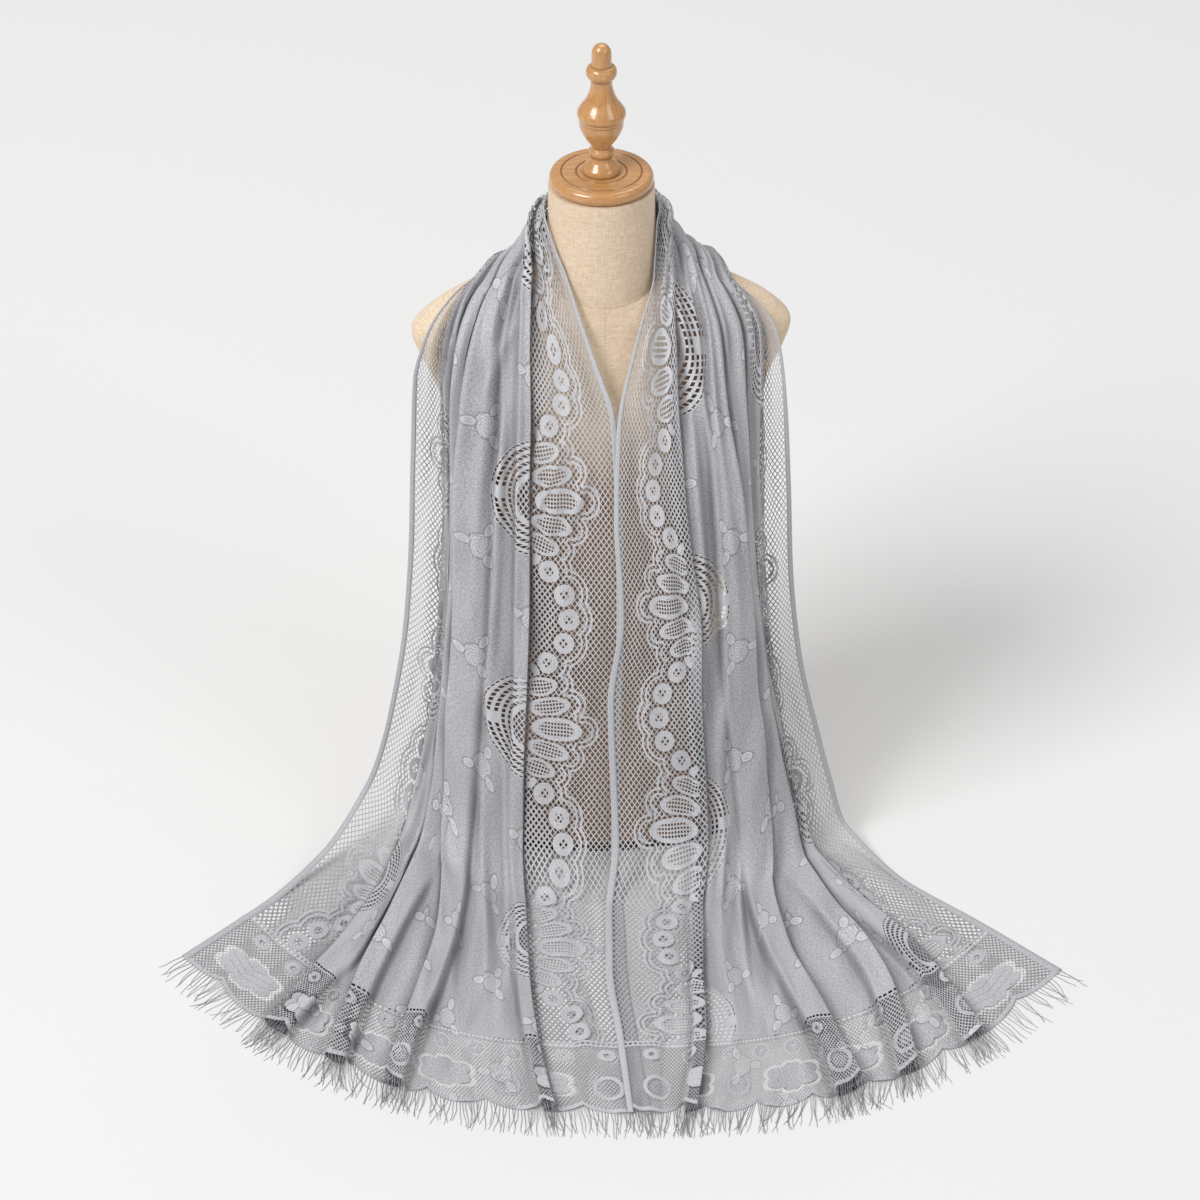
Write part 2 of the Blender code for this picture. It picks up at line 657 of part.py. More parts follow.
def fringe_mesh(work, hem, out, normals):
    """Root strip of three-cornered section, with a four-sided strand on every second length."""
    half = 0.5 * WALL
    inner = hem + out * SEAM_GAP
    front = hem + out * (SEAM_GAP + ROOT_STRIP)
    lines = [inner, front + normals * half, front - normals * (half - 0.1)]
    verts = [[work.verts.new(point * MM) for point in line] for line in lines]
    for first, second in ((0, 1), (2, 0)):
        for i in range(len(hem) - 1):
            a, b = verts[first], verts[second]
            work.faces.new((a[i], a[i + 1], b[i + 1], b[i]))
    for end in (0, len(hem) - 1):
        work.faces.new([line[end] for line in verts])
    for i in range(len(hem) - 1):
        root = (verts[1][i], verts[1][i + 1], verts[2][i + 1], verts[2][i])
        if i % 2:
            work.faces.new(root)
            continue
        reach = STRAND_LENGTH * (1 - STRAND_VARIES * (1 - math.sin(2.3 * i) * math.cos(0.7 * i)))
        lean = STRAND_LEAN * math.sin(1.7 * i)
        way = 0.5 * (out[i] + out[i + 1])
        aside = np.array([-way[1], way[0], 0.0]) * lean
        root_middle = 0.5 * (front[i] + front[i + 1])
        tip = root_middle + (way + aside) * reach
        tip[2] = TIP_DROP + 0.35 * (root_middle[2] - TIP_DROP)
        point = work.verts.new(tip * MM)
        for a, b in zip(root, root[1:] + root[:1]):
            work.faces.new((a, b, point))


def add_fringe(name, pleats, rows, inner_lift, side, material, collection):
    """Fringe of one end of the shawl."""
    hem, out, normals = hem_points(pleats, rows, inner_lift, side, 2 * STRANDS_A_SIDE)
    return add_mesh(name, lambda work: fringe_mesh(work, hem, out, normals), material, collection)


def main():
    """Builds the form, the three stretches of the shawl and its fringes."""
    for old in list(bpy.data.objects):
        bpy.data.objects.remove(old, do_unlink=True)
    part = collection_named("lace_hijab_on_dress_form")
    lace = principled("grey_lace", CLOTH_GREY, 0.62, 0.25)
    linen = principled("cream_linen", LINEN, 0.85)
    wood = principled("lacquered_wood", WOOD, 0.25)
    add_torso(linen, part)
    add_neck(linen, part)
    add_turned("form_cap", cap_profile(), CAP_FOOT, wood, part)
    add_turned("form_finial", FINIAL_PROFILE, FINIAL_FOOT, wood, part)
    flat = (0,) * len(FOLD_LEVELS)
    halves = (
        ("left", LEFT_PLEATS, LEFT_ROWS, flat, 1),
        ("right", RIGHT_PLEATS, RIGHT_ROWS, RIGHT_INNER_LIFT, -1),
    )
    for name, pleats, rows, inner_lift, side in halves:
        paths = (FRONT_PATHS[0] + STRETCH_GAP / 2,) + FRONT_PATHS[1:]
        grid = cloth_rows(pleats, rows, inner_lift, side, paths, sample_stops(pleats))
        add_cloth("shawl_" + name, grid, lace, part)
        add_fringe("fringe_" + name, pleats, rows, inner_lift, side, lace, part)
    end = BACK_STRETCH - STRETCH_GAP / 2
    middle = len(BACK_PATHS) // 2
    behind_right = (-end,) + BACK_PATHS[1:middle]
    behind_left = BACK_PATHS[middle:-1] + (end,)
    grid_right = cloth_rows(RIGHT_PLEATS, RIGHT_ROWS, flat, -1, [-path for path in behind_right],
                            sample_stops(RIGHT_PLEATS))
    grid_left = cloth_rows(LEFT_PLEATS, LEFT_ROWS, flat, 1, behind_left, sample_stops(LEFT_PLEATS))
    add_cloth("shawl_back_neck", np.concatenate([grid_right, grid_left]), lace, part)


main()
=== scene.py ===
"""Looks of the lace shawl and the dress form that it is draped on."""

import math
from collections import namedtuple

import bpy
import numpy as np
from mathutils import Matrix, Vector


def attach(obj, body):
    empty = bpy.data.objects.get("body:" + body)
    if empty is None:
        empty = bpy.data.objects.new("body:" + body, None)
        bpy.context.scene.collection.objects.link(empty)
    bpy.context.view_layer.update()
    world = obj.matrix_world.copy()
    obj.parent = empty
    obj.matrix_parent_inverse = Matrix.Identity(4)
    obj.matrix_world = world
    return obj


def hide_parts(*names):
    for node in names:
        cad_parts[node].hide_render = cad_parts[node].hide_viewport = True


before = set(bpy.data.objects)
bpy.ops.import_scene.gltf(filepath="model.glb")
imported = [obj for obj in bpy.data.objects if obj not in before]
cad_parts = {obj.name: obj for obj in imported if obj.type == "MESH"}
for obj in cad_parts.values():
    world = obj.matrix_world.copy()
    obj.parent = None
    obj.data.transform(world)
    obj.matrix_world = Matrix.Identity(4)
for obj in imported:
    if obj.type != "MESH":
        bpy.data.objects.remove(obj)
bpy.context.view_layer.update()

MM = 0.001

# Cloth, mm
CLOTH_WIDTH = 680.0
HALF_PATH = 1155.0
FORM_GAP = 1.1
MOST_PUSH = 6.0
STACK_REACH = 4.0
STACK_TAPER = 0.5
STACK_ROUNDS = 8
BACK_STRETCH = 85.0
FLOOR_LIFT = 0.65
NOSE = 3.2
RISE = 9.0
CLEAR = 1.0
OPEN_STEP = 2.2
NAPE_FLAT = 8.0
NAPE_RIDGE = 32.0
WAIST_PATH = 620.0
LOW_PATH = 783.0
TABLE_PATH = 940.0
INNER_SHARE = 0.4
ROW_STEP = 4.5
COLUMN_STEP = 3.4
SELVEDGE_WIDTH = 7.0
SELVEDGE_THICK = 0.9

# Pattern along the cloth, mm
LEFT_SHELL = 390.0
RIGHT_SHELL = 507.0
PHASE_RAMP = 250.0
PHASE_SHIFT = 117.0

# Dress form, mm
FORM_TURN = math.radians(3.7)
SLANT_FOOT = 560.0
SEAM_SLANT = 0.28
SEAM_HEIGHT = 630.0
NECK_TOP = 721.7
NECK_FOOT_RADIUS = 53.2
NECK_TOP_RADIUS = 50.8
SEAM_GAP = 0.3
CAP_FOOT = 722.0
CAP_RADIUS = 50.0
CAP_THICK = 13.0
CAP_RIM = 5.5
GROOVE_RADII = (24.3, 38.6)
GROOVE_WIDTH = 1.7
GROOVE_DEPTH = 1.1
FINIAL_FOOT = CAP_FOOT + CAP_THICK + SEAM_GAP

Section = namedtuple("Section", "name path inner outer bend")
Pleat = namedtuple("Pleat", "name way flat flat_hem edge tuck top")
Level = namedtuple("Level", "name height half front back power")
Turned = namedtuple("Turned", "height radius")
Crease = namedtuple("Crease", "flat path flat_end path_end width depth")


def rows_of(kind, *rows):
    """A table: its rows with their columns named."""
    return tuple(kind(*row) for row in rows)


# Rows across the cloth: path from the nape, how the row bends back, then the inner and the outer edge
# of the left half and of the right half
ROWS = (
    ("nape", 0, 1.0, (0, 52.9, 700), (0, 96, 588), (0, 52.9, 700), (0, 96, 588)),
    ("back", 42, 1.0, (-37.7, 37.1, 700), (-38, 90, 590), (37.7, 37.1, 700), (38, 90, 590)),
    ("neck", 85, 1.0, (-53, 0, 699), (-76, 74, 594), (53, 0, 699), (76, 74, 594)),
    ("shoulder", 172, 1.3, (-26, -56, 625), (-122, 13, 607), (50, -30, 638), (131, 10, 603)),
    ("collar", 236, 1.8, (-5, -80, 569), (-158, -30, 592), (34, -66, 590), (170, -30, 576)),
    ("chest", 310, 2.4, (15, -100, 509), (-182, -60, 540), (15, -104, 512), (180.5, -56, 510)),
    ("bust", 405, 3.2, (20, -118, 417), (-186, -60, 452), (12, -121, 420), (185, -59, 426)),
    ("ribs", 520, 3.2, (22, -127, 300), (-191, -60, 347), (17, -130, 305), (191, -60, 312)),
    ("waist", 620, 3.2, (20, -132, 200), (-198, -60, 256), (6, -135, 205), (200, -61.5, 225)),
    ("hip", 721, 3.2, (18, -140, 100), (-212, -64, 165), (9, -143, 104), (219, -65, 133)),
    ("low", 783, 3.0, (17, -155, 40), (-224, -69, 110), (11, -158, 44), (235, -74, 70)),
    ("touch", 840, 3.0, (22, -200, 0), (-242, -77, 61), (4, -203, 0), (252, -88, 20)),
    ("table", 940, 2.9, (25, -300, 0), (-286, -128, 14), (4, -300, 0), (310, -158, 0)),
    ("spread", 1040, 2.85, (35, -400, 0), (-345, -198, 0), (14, -400, 0), (379, -223, 0)),
    ("hem", 1155, 2.85, (48, -517, 0), (-417, -278, 0), (25, -517, 0), (456, -300, 0)),
)
LEFT_ROWS = [Section(name, path, *edges[:2], bend) for name, path, bend, *edges in ROWS]
RIGHT_ROWS = [Section(name, path, *edges[2:], bend) for name, path, bend, *edges in ROWS]

# Each pleat column below is read at these path distances
FOLD_LEVELS = (0, 85, 172, 310, 405, 620, 783, 940, 1155)
LAYER_PITCH = (3.2, 3.2, 3.2, 3.0, 3.0, 3.0, 3.0, 3.2, 3.2)
LEFT_INNER_LIFT = (0, 0, 0, 0, 0, 0, 0, 0, 0)
RIGHT_INNER_LIFT = (0, 0, 0, 0.5, 0.5, 0.5, 1.5, 2.8, 2.8)

# Pleats: way +1 lays the inner side on top, -1 the outer side, 0 is one soft trough
LEFT_PLEATS = rows_of(
    Pleat,
    ("inner", -1, (116, 102), (118, 104),
     (0.18, 0.18, 0.387, 0.42, 0.434, 0.432, 0.40, 0.312, 0.195),
     (8, 8, 8, 9, 11, 12, 12, 12, 14),
     (9, 9, 9, 4, 4, 4, 4, 8, 10)),
    ("trough", 0, (158,), (235,),
     (0.34, 0.34, 0.60, 0.575, 0.60, 0.62, 0.59, 0.507, 0.425),
     (0, 0, 0, 0, 0, 0, 0, 0, 0),
     (2, 2, 2, -3, -4, -4, -3, 0, 0)),
    ("deep", 1, (198, 262), (322, 340),
     (0.52, 0.52, 0.76, 0.764, 0.790, 0.788, 0.739, 0.617, 0.554),
     (12, 12, 12, 28, 30, 30, 28, 20, 20),
     (9, 9, 9, 4, 3, 3, 3, 10, 12)),
    ("under", 1, (335, 400), (415, 432),
     (0.70, 0.70, 0.87, 0.82, 0.826, 0.824, 0.80, 0.768, 0.677),
     (12, 12, 8, 22, 28, 28, 24, 18, 20),
     (9, 9, 8, -2, -3, -3, -3, 9, 11)),
    ("outer", 1, (598, 618), (530, 556),
     (0.88, 0.88, 0.955, 0.885, 0.881, 0.876, 0.869, 0.829, 0.812),
     (12, 12, 5, 10, 12, 12, 12, 20, 24),
     (9, 9, 8, -8, -9, -9, -9, 7, 9)),
)
RIGHT_PLEATS = rows_of(
    Pleat,
    ("inner", 1, (100, 114), (88, 104),
     (0.18, 0.18, 0.20, 0.364, 0.412, 0.480, 0.433, 0.318, 0.153),
     (8, 8, 8, 9, 11, 12, 12, 12, 14),
     (9, 9, 9, 4, 4, 4, 4, 8, 10)),
    ("trough", 0, (150,), (224,),
     (0.34, 0.34, 0.345, 0.506, 0.550, 0.573, 0.559, 0.462, 0.344),
     (0, 0, 0, 0, 0, 0, 0, 0, 0),
     (2, 2, 2, -3, -4, -4, -3, 0, 0)),
    ("deep", 1, (192, 262), (326, 350),
     (0.52, 0.52, 0.54, 0.649, 0.721, 0.771, 0.723, 0.601, 0.526),
     (12, 12, 9, 14, 22, 30, 28, 22, 30),
     (9, 9, 9, 4, 3, 3, 3, 11, 14)),
    ("under", 1, (335, 400), (444, 464),
     (0.70, 0.70, 0.72, 0.764, 0.793, 0.832, 0.836, 0.804, 0.653),
     (12, 12, 12, 20, 28, 28, 24, 18, 22),
     (9, 9, 9, -2, -3, -3, -3, 9, 11)),
    ("outer", 1, (598, 618), (560, 584),
     (0.88, 0.88, 0.90, 0.89, 0.889, 0.885, 0.886, 0.879, 0.808),
     (12, 12, 8, 10, 12, 12, 12, 14, 22),
     (9, 9, 8, -8, -9, -9, -9, 8, 10)),
)

TORSO_LEVELS = rows_of(
    Level,
    ("base", 0, 158, 108, 104, 2.4),
    ("foot", 30, 163, 110, 108, 2.4),
    ("hip", 80, 164, 109, 112, 2.35),
    ("belly", 140, 150, 103, 106, 2.3),
    ("waist", 210, 122, 92, 84, 2.2),
    ("ribs", 280, 126, 96, 82, 2.2),
    ("under_bust", 340, 140, 105, 88, 2.25),
    ("bust", 395, 150, 110, 94, 2.3),
    ("chest", 440, 151, 105, 98, 2.3),
    ("armhole", 486, 156, 93, 100, 2.25),
    ("upper_chest", 520, 167, 81, 98, 2.2),
    ("arm", 545, 179, 72, 94, 2.15),
    ("shoulder_point", 566, 185, 66, 86, 2.05),
    ("shoulder", 582, 172, 62, 76, 1.95),
    ("slope", 596, 150, 59.5, 68, 1.85),
    ("yoke", 609, 114, 57.5, 62, 1.85),
    ("collar", 620, 80, 55, 57, 1.95),
    ("seam", 630, 54.5, 53.6, 54, 2.0),
)

FINIAL_PROFILE = rows_of(
    Turned,
    (135.0, 0.0), (134.2, 4.2), (131.0, 7.6), (126.0, 9.4), (113.0, 9.7), (111.5, 12.4), (108.5, 14.4),
    (105.0, 14.8), (101.0, 13.4), (98.5, 10.4), (93.0, 10.3), (84.0, 12.2), (76.0, 15.6), (69.0, 20.4),
    (64.5, 22.9), (61.5, 23.3), (59.0, 22.6), (57.6, 22.0), (55.6, 21.9), (54.4, 21.2), (50.0, 21.1),
    (43.0, 19.0), (36.0, 15.0), (30.0, 10.8), (27.0, 9.5), (25.0, 10.2), (23.5, 12.0), (20.5, 12.3),
    (18.3, 11.4), (17.0, 10.8), (15.0, 10.9), (13.0, 11.6), (9.0, 14.4), (5.0, 17.6), (2.0, 18.5),
    (0.0, 18.2), (0.0, 0.0),
)


def smooth_curve(knots, values, places):
    """Monotone cubic through the knots, which never overshoots."""
    knots = np.asarray(knots, float)
    values = np.asarray(values, float)
    places = np.asarray(places, float)
    column = (-1,) + (1,) * (values.ndim - 1)
    steps = np.diff(knots).reshape(column)
    slopes = np.diff(values, axis=0) / steps
    before, after = slopes[:-1], slopes[1:]
    weight_before = 2 * steps[1:] + steps[:-1]
    weight_after = steps[1:] + 2 * steps[:-1]
    same_way = before * after > 0
    safe_before = np.where(same_way, before, 1.0)
    safe_after = np.where(same_way, after, 1.0)
    mean = (weight_before + weight_after) / (weight_before / safe_before + weight_after / safe_after)
    tangents = np.empty_like(values)
    tangents[1:-1] = np.where(same_way, mean, 0.0)
    tangents[0] = slopes[0]
    tangents[-1] = slopes[-1]
    left = np.clip(np.searchsorted(knots, places, side="right") - 1, 0, len(knots) - 2)
    spread = places.shape + (1,) * (values.ndim - 1)
    step = (knots[left + 1] - knots[left]).reshape(spread)
    along = (places - knots[left]).reshape(spread) / step
    start = (2 * along**3 - 3 * along**2 + 1) * values[left]
    start_pull = (along**3 - 2 * along**2 + along) * step * tangents[left]
    end = (3 * along**2 - 2 * along**3) * values[left + 1]
    end_pull = (along**3 - along**2) * step * tangents[left + 1]
    return start + start_pull + end + end_pull


def share_of(value):
    """A number, or each of an array, kept between 0 and 1."""
    return np.clip(value, 0.0, 1.0)


def unit(vectors):
    """Vectors brought to length 1."""
    return vectors / np.linalg.norm(vectors, axis=-1, keepdims=True)


def step_lengths(points):
    """Distance from each point of a row to the next."""
    return np.linalg.norm(np.diff(points, axis=-2), axis=-1)


def running(steps):
    """Distance along a row at each of its points."""
    return np.concatenate([[0.0], np.cumsum(steps)])


def points_at(wanted, known, points):
    """Points of a line at the wanted places along it."""
    return np.column_stack([np.interp(wanted, known, points[:, axis]) for axis in range(3)])


def at_level(column, path):
    """A pleat column read at a path distance, the same on both sides of the nape."""
    return float(smooth_curve(FOLD_LEVELS, column, abs(path)))


def row_table(rows):
    """Paths, inner and outer edges and bends, with the rows behind the nape mirrored in."""
    mirror = np.array([-1.0, 1.0, 1.0])
    near = [row for row in rows if 0 < row.path <= BACK_STRETCH][::-1]
    behind = [
        row._replace(path=-row.path, inner=mirror * row.inner, outer=mirror * row.outer) for row in near
    ]
    _, paths, inner, outer, bends = zip(*behind, *rows)
    return paths, np.array(inner, float), np.array(outer, float), bends


def base_points(table, path, places):
    """Points along one row, before pleats: place 0 is the inner edge and 1 the outer."""
    paths, inner, outer, bends = table
    start = smooth_curve(paths, inner, path)
    end = smooth_curve(paths, outer, path)
    bend = float(smooth_curve(paths, bends, path))
    drop = np.sign(places) * np.abs(places) ** bend
    shares = np.stack([places, drop, drop], axis=-1)
    return start + (end - start) * shares


def row_width(table, path):
    """Length of a row's curve."""
    points = base_points(table, path, np.linspace(0, 1, 33))
    return float(step_lengths(points).sum())


def smooth_share(value):
    """Eases from 0 to 1."""
    value = share_of(value)
    return value * value * (3 - 2 * value)


def flat_places(pleat, path):
    """Where the pleat's turnings lie across the flat cloth, which drifts towards the hem."""
    share = share_of((abs(path) - WAIST_PATH) / (HALF_PATH - WAIST_PATH))
    upper = np.array(pleat.flat, float)
    return tuple(upper + (np.array(pleat.flat_hem, float) - upper) * share)


def knife_points(pleat, path, width, ground):
    """Nine points of one knife pleat as (place, lift, flat or None), from the top layer's side."""
    edge = at_level(pleat.edge, path)
    tuck = at_level(pleat.tuck, path) / width
    top = at_level(pleat.top, path)
    pitch = at_level(LAYER_PITCH, path)
    lying = share_of((abs(path) - LOW_PATH) / (TABLE_PATH - LOW_PATH))
    pitch += (max(0.5 * top, pitch) - pitch) * lying
    nose = min(NOSE / width, 0.4 * tuck)
    first, second = flat_places(pleat, path)
    way = pleat.way
    points = [
        [edge - way * (tuck + RISE / width), ground, None],
        [edge - way * (tuck + CLEAR / width), top, None],
        [edge - way * nose, top, None],
        [edge, top - 0.25 * pitch, first],
        [edge - way * nose, top - pitch, None],
        [edge - way * (tuck - nose), top - pitch, None],
        [edge - way * tuck, top - 1.5 * pitch, second],
        [edge - way * (tuck - nose), top - 2 * pitch, None],
        [edge + way * CLEAR / width, top - 2 * pitch, None],
    ]
    if pleat.name != "inner":
        return points
    raised = smooth_share((abs(path) - NAPE_FLAT) / (NAPE_RIDGE - NAPE_FLAT))
    folded = smooth_share((abs(path) - NAPE_RIDGE) / (BACK_STRETCH - NAPE_RIDGE))
    for index, point in enumerate(points):
        open_place = edge + way * (index - 4) * OPEN_STEP / width
        point[0] = open_place + (point[0] - open_place) * folded
        point[1] = ground + (point[1] - ground) * raised
    return points


def cross_points(pleats, table, path, inner_lift):
    """Every control point across one row: place, lift and flat distance from the inner edge."""
    width = row_width(table, path)
    lift = at_level(inner_lift, path)
    points = [[0.0, lift, 0.0]]
    for index, pleat in enumerate(pleats):
        if pleat.way == 0:
            place, top = at_level(pleat.edge, path), at_level(pleat.top, path)
            points.append([place, top, flat_places(pleat, path)[0]])
            continue
        if pleat.way > 0:
            ground = 0.0 if index == 0 else points[-1][1]
            knife = knife_points(pleat, path, width, ground)
        else:
            ground = at_level(pleats[index + 1].top, path)
            knife = knife_points(pleat, path, width, ground)[::-1]
        if index == 0:
            points.append([INNER_SHARE * knife[0][0], lift, None])
        least = 0.5 / width
        for point in knife[:2]:
            if pleat.way > 0:
                point[0] = min(max(point[0], points[-1][0] + least), knife[2][0] - least)
                points.append(point)
        points.extend(knife[2:] if pleat.way > 0 else knife)
    points.append([0.5 * (points[-1][0] + 1.0), 0.5 * points[-1][1], None])
    points.append([1.0, 0.0, CLOTH_WIDTH])
    return fill_flat(np.array([[p[0], p[1]] for p in points]), [p[2] for p in points], width)


def fill_flat(places, flats, width):
    """Flat distances between the known ones, shared out by the length of the folded row."""
    steps = np.hypot(np.diff(places[:, 0]) * width, np.diff(places[:, 1]))
    run = running(steps)
    known = [index for index, flat in enumerate(flats) if flat is not None]
    filled = np.interp(run, run[known], [flats[index] for index in known])
    return np.column_stack([places, filled])


def base_normals(table, path, places, side):
    """Unit normals of the unpleated cloth, away from the form."""
    small_place, small_path = 0.01, 2.0
    across = base_points(table, path, places + small_place) - base_points(table, path, places - small_place)
    along = base_points(table, path + small_path, places) - base_points(table, path - small_path, places)
    return unit(side * np.cross(across, along))


def torso_values(height):
    """Half width, front, back and power of the torso's oval at each height."""
    _, heights, *columns = zip(*TORSO_LEVELS)
    return smooth_curve(heights, np.column_stack(columns), np.clip(height, heights[0], heights[-1]))


def slant_at(height):
    """Share of the neck seam's slant that a height takes."""
    return share_of((height - SLANT_FOOT) / (SEAM_HEIGHT - SLANT_FOOT))


def form_fill(points):
    """Above 0 inside the dress form, in shares of its radius, and below 0 outside."""
    turn = np.array([
        [math.cos(FORM_TURN), math.sin(FORM_TURN)],
        [-math.sin(FORM_TURN), math.cos(FORM_TURN)],
    ])
    flat = points[..., :2] @ turn.T
    height = points[..., 2] - SEAM_SLANT * flat[..., 1] * slant_at(points[..., 2])
    values = torso_values(height)
    depth = np.where(flat[..., 1] < 0, values[..., 1], values[..., 2])
    power = values[..., 3]
    oval = (np.abs(flat[..., 0]) / values[..., 0]) ** power + (np.abs(flat[..., 1]) / depth) ** power
    torso = np.where(height < SEAM_HEIGHT, 1 - oval ** (1 / power), -1.0)
    neck = 1 - np.hypot(points[..., 0], points[..., 1]) / NECK_FOOT_RADIUS
    return np.where(points[..., 2] > SEAM_HEIGHT - 20, np.maximum(torso, neck), torso)


def form_shortage(points):
    """How much nearer than FORM_GAP to the form, or how far inside it, each point is."""
    small = 0.5
    here = form_fill(points)
    slope = np.empty_like(points)
    for axis in range(3):
        shift = np.zeros(3)
        shift[axis] = small
        slope[..., axis] = (form_fill(points + shift) - form_fill(points - shift)) / (2 * small)
    steep = np.maximum(np.linalg.norm(slope, axis=-1), 1e-6)
    short = np.clip(FORM_GAP + here / steep, 0.0, MOST_PUSH)
    return np.where(here > -0.2, short, 0.0)


def stack_push(points, normals, run):
    """How far out each point of a row moves so that all the layers at its place clear the form."""
    away = np.clip(np.abs(run[:, None] - run[None, :]) - STACK_REACH, 0.0, None)
    push = np.zeros(len(points))
    for _ in range(STACK_ROUNDS):
        push = push + form_shortage(points + normals * push[:, None])
        push = np.max(push[None, :] - STACK_TAPER * away, axis=1)
    return push


# Cloth in three stretches

Half = namedtuple("Half", "name pleats rows lift side shell")
HALVES = {
    "left": Half("left", LEFT_PLEATS, LEFT_ROWS, LEFT_INNER_LIFT, 1, LEFT_SHELL),
    "right": Half("right", RIGHT_PLEATS, RIGHT_ROWS, RIGHT_INNER_LIFT, -1, RIGHT_SHELL),
}
SPLIT_STOP = 18
RUN_PATHS = (0, 60, 85, 130, 172, 240, 310, 405, 520, 620, 721, 783, 860, 940, 1040, 1155)

# Soft undulations: height in mm, lengths across and along in mm, and phase
SWELLS = (
    (0.95, 61.0, 410.0, 0.4), (0.75, 37.0, -290.0, 2.1), (0.65, 83.0, 170.0, 4.0),
    (0.46, 29.0, 230.0, 1.2), (0.36, 23.0, -150.0, 5.2),
)
# Gathers round the neck: height in mm, length across in mm and phase
GATHERS = ((1.15, 13.0, 0.3), (0.85, 19.5, 2.2), (0.45, 9.1, 4.4))
GATHER_REACH = 330.0
GATHER_DRIFT = 0.03
# Near both edges the small folds ease down to a share
EDGE_EASE = 20.0
EDGE_LEAST = 0.25
CREASE_GAIN = 1.75
CREASE_FADE = 0.7
SHADE_BIN = 1.5
SHADE_NEAR = 2
SHADE_WIDE = 11
# Painted shade: darkness of a point beside a higher fold, in a valley and under other cloth
SHADE_BESIDE = 0.38
SHADE_VALLEY = 0.26
SHADE_COVERED = 0.46

# Creases: flat place and path at both ends, half width and depth, all mm; depth below 0 is a valley
CREASES = {
    "left": rows_of(
        Crease,
        (122, 150, 190, 330, 7.0, 2.0), (150, 190, 176, 520, 6.0, -1.8), (40, 230, 88, 520, 8.0, 1.6),
        (70, 360, 30, 640, 10.0, -1.2), (20, 700, 74, 980, 12.0, 1.4), (52, 318, 96, 432, 4.0, 2.4),
        (80, 296, 116, 418, 4.0, -2.0), (26, 342, 66, 452, 4.5, 1.9), (98, 352, 60, 470, 3.5, 1.6),
        (130, 140, 131, 620, 4.0, 2.0), (154, 110, 158, 760, 5.0, 2.6), (172, 130, 178, 640, 4.0, 2.0),
        (192, 150, 196, 520, 4.5, 2.4), (140, 620, 150, 1000, 6.0, 2.2), (172, 680, 184, 1060, 6.5, 2.4),
        (430, 120, 520, 420, 9.0, 2.2), (470, 330, 560, 700, 10.0, -1.8), (300, 150, 322, 420, 5.0, 1.3),
        (560, 560, 500, 930, 11.0, 1.8), (140, 900, 250, 1150, 9.0, -1.8),
        (200, 820, 300, 1150, 8.0, 2.0), (500, 880, 470, 1150, 9.0, 2.0),
        (620, 760, 600, 1110, 12.0, 1.6), (40, 960, 60, 1155, 9.0, 1.8),
    ),
    "right": rows_of(
        Crease,
        (118, 160, 168, 370, 7.0, 2.2), (164, 220, 140, 560, 6.0, -1.6), (30, 250, 76, 470, 8.0, 1.4),
        (60, 430, 22, 690, 10.0, -1.2), (30, 760, 70, 1010, 12.0, 1.3), (136, 140, 138, 560, 4.0, 2.0),
        (154, 120, 158, 720, 5.0, 2.6), (172, 130, 174, 640, 4.0, 2.2), (186, 160, 190, 540, 4.0, 2.2),
        (150, 640, 160, 1020, 6.0, 2.2), (178, 700, 196, 1060, 6.5, 2.4), (420, 110, 500, 360, 8.0, 2.2),
        (520, 240, 470, 640, 10.0, -1.8), (290, 170, 316, 400, 5.0, 1.2),
        (540, 600, 590, 960, 11.0, 1.8), (150, 860, 230, 1150, 9.0, -1.6),
        (190, 800, 290, 1150, 8.0, 2.0), (480, 900, 540, 1150, 10.0, 2.0),
        (630, 740, 610, 1080, 12.0, 1.4), (60, 930, 40, 1155, 8.0, -1.4),
    ),
}


def crease_relief(crease, path, flats):
    """One crease's height at each flat place: a soft ridge that fades in and out along its line."""
    along = (path - crease.path) / (crease.path_end - crease.path)
    if not 0 <= along <= 1:
        return np.zeros_like(flats)
    centre = crease.flat + (crease.flat_end - crease.flat) * along
    fade = math.sin(math.pi * along) ** CREASE_FADE
    return CREASE_GAIN * crease.depth * fade * np.exp(-((flats - centre) / crease.width) ** 2)


def relief(half, path, flats):
    """Small folds that ride on the pleats, in mm."""
    total = np.zeros_like(flats)
    for height, across, along, phase in SWELLS:
        total += height * np.sin(2 * math.pi * (flats / across + path / along) + phase)
    near = smooth_share(1 - abs(path) / GATHER_REACH)
    for height, across, phase in GATHERS:
        drift = GATHER_DRIFT * path * math.sin(phase)
        total += near * height * np.sin(2 * math.pi * (flats + drift) / across + phase)
    for crease in CREASES[half.name]:
        total += crease_relief(crease, path, flats)
    edge = np.clip(np.minimum(flats, CLOTH_WIDTH - flats) / EDGE_EASE, EDGE_LEAST, 1.0)
    return total * edge


def sample_stops(half):
    """Column places along the control points, about COLUMN_STEP apart on the longest row."""
    table = row_table(half.rows)
    longest = 0.0
    for path in RUN_PATHS:
        controls = cross_points(half.pleats, table, path, half.lift)
        width = row_width(table, path)
        longest = np.maximum(longest, np.hypot(np.diff(controls[:, 0]) * width, np.diff(controls[:, 1])))
    stops = []
    for index, length in enumerate(longest):
        count = max(2, math.ceil(length / COLUMN_STEP))
        stops.extend(index + step / count for step in range(count))
    return np.array(stops + [len(longest)])


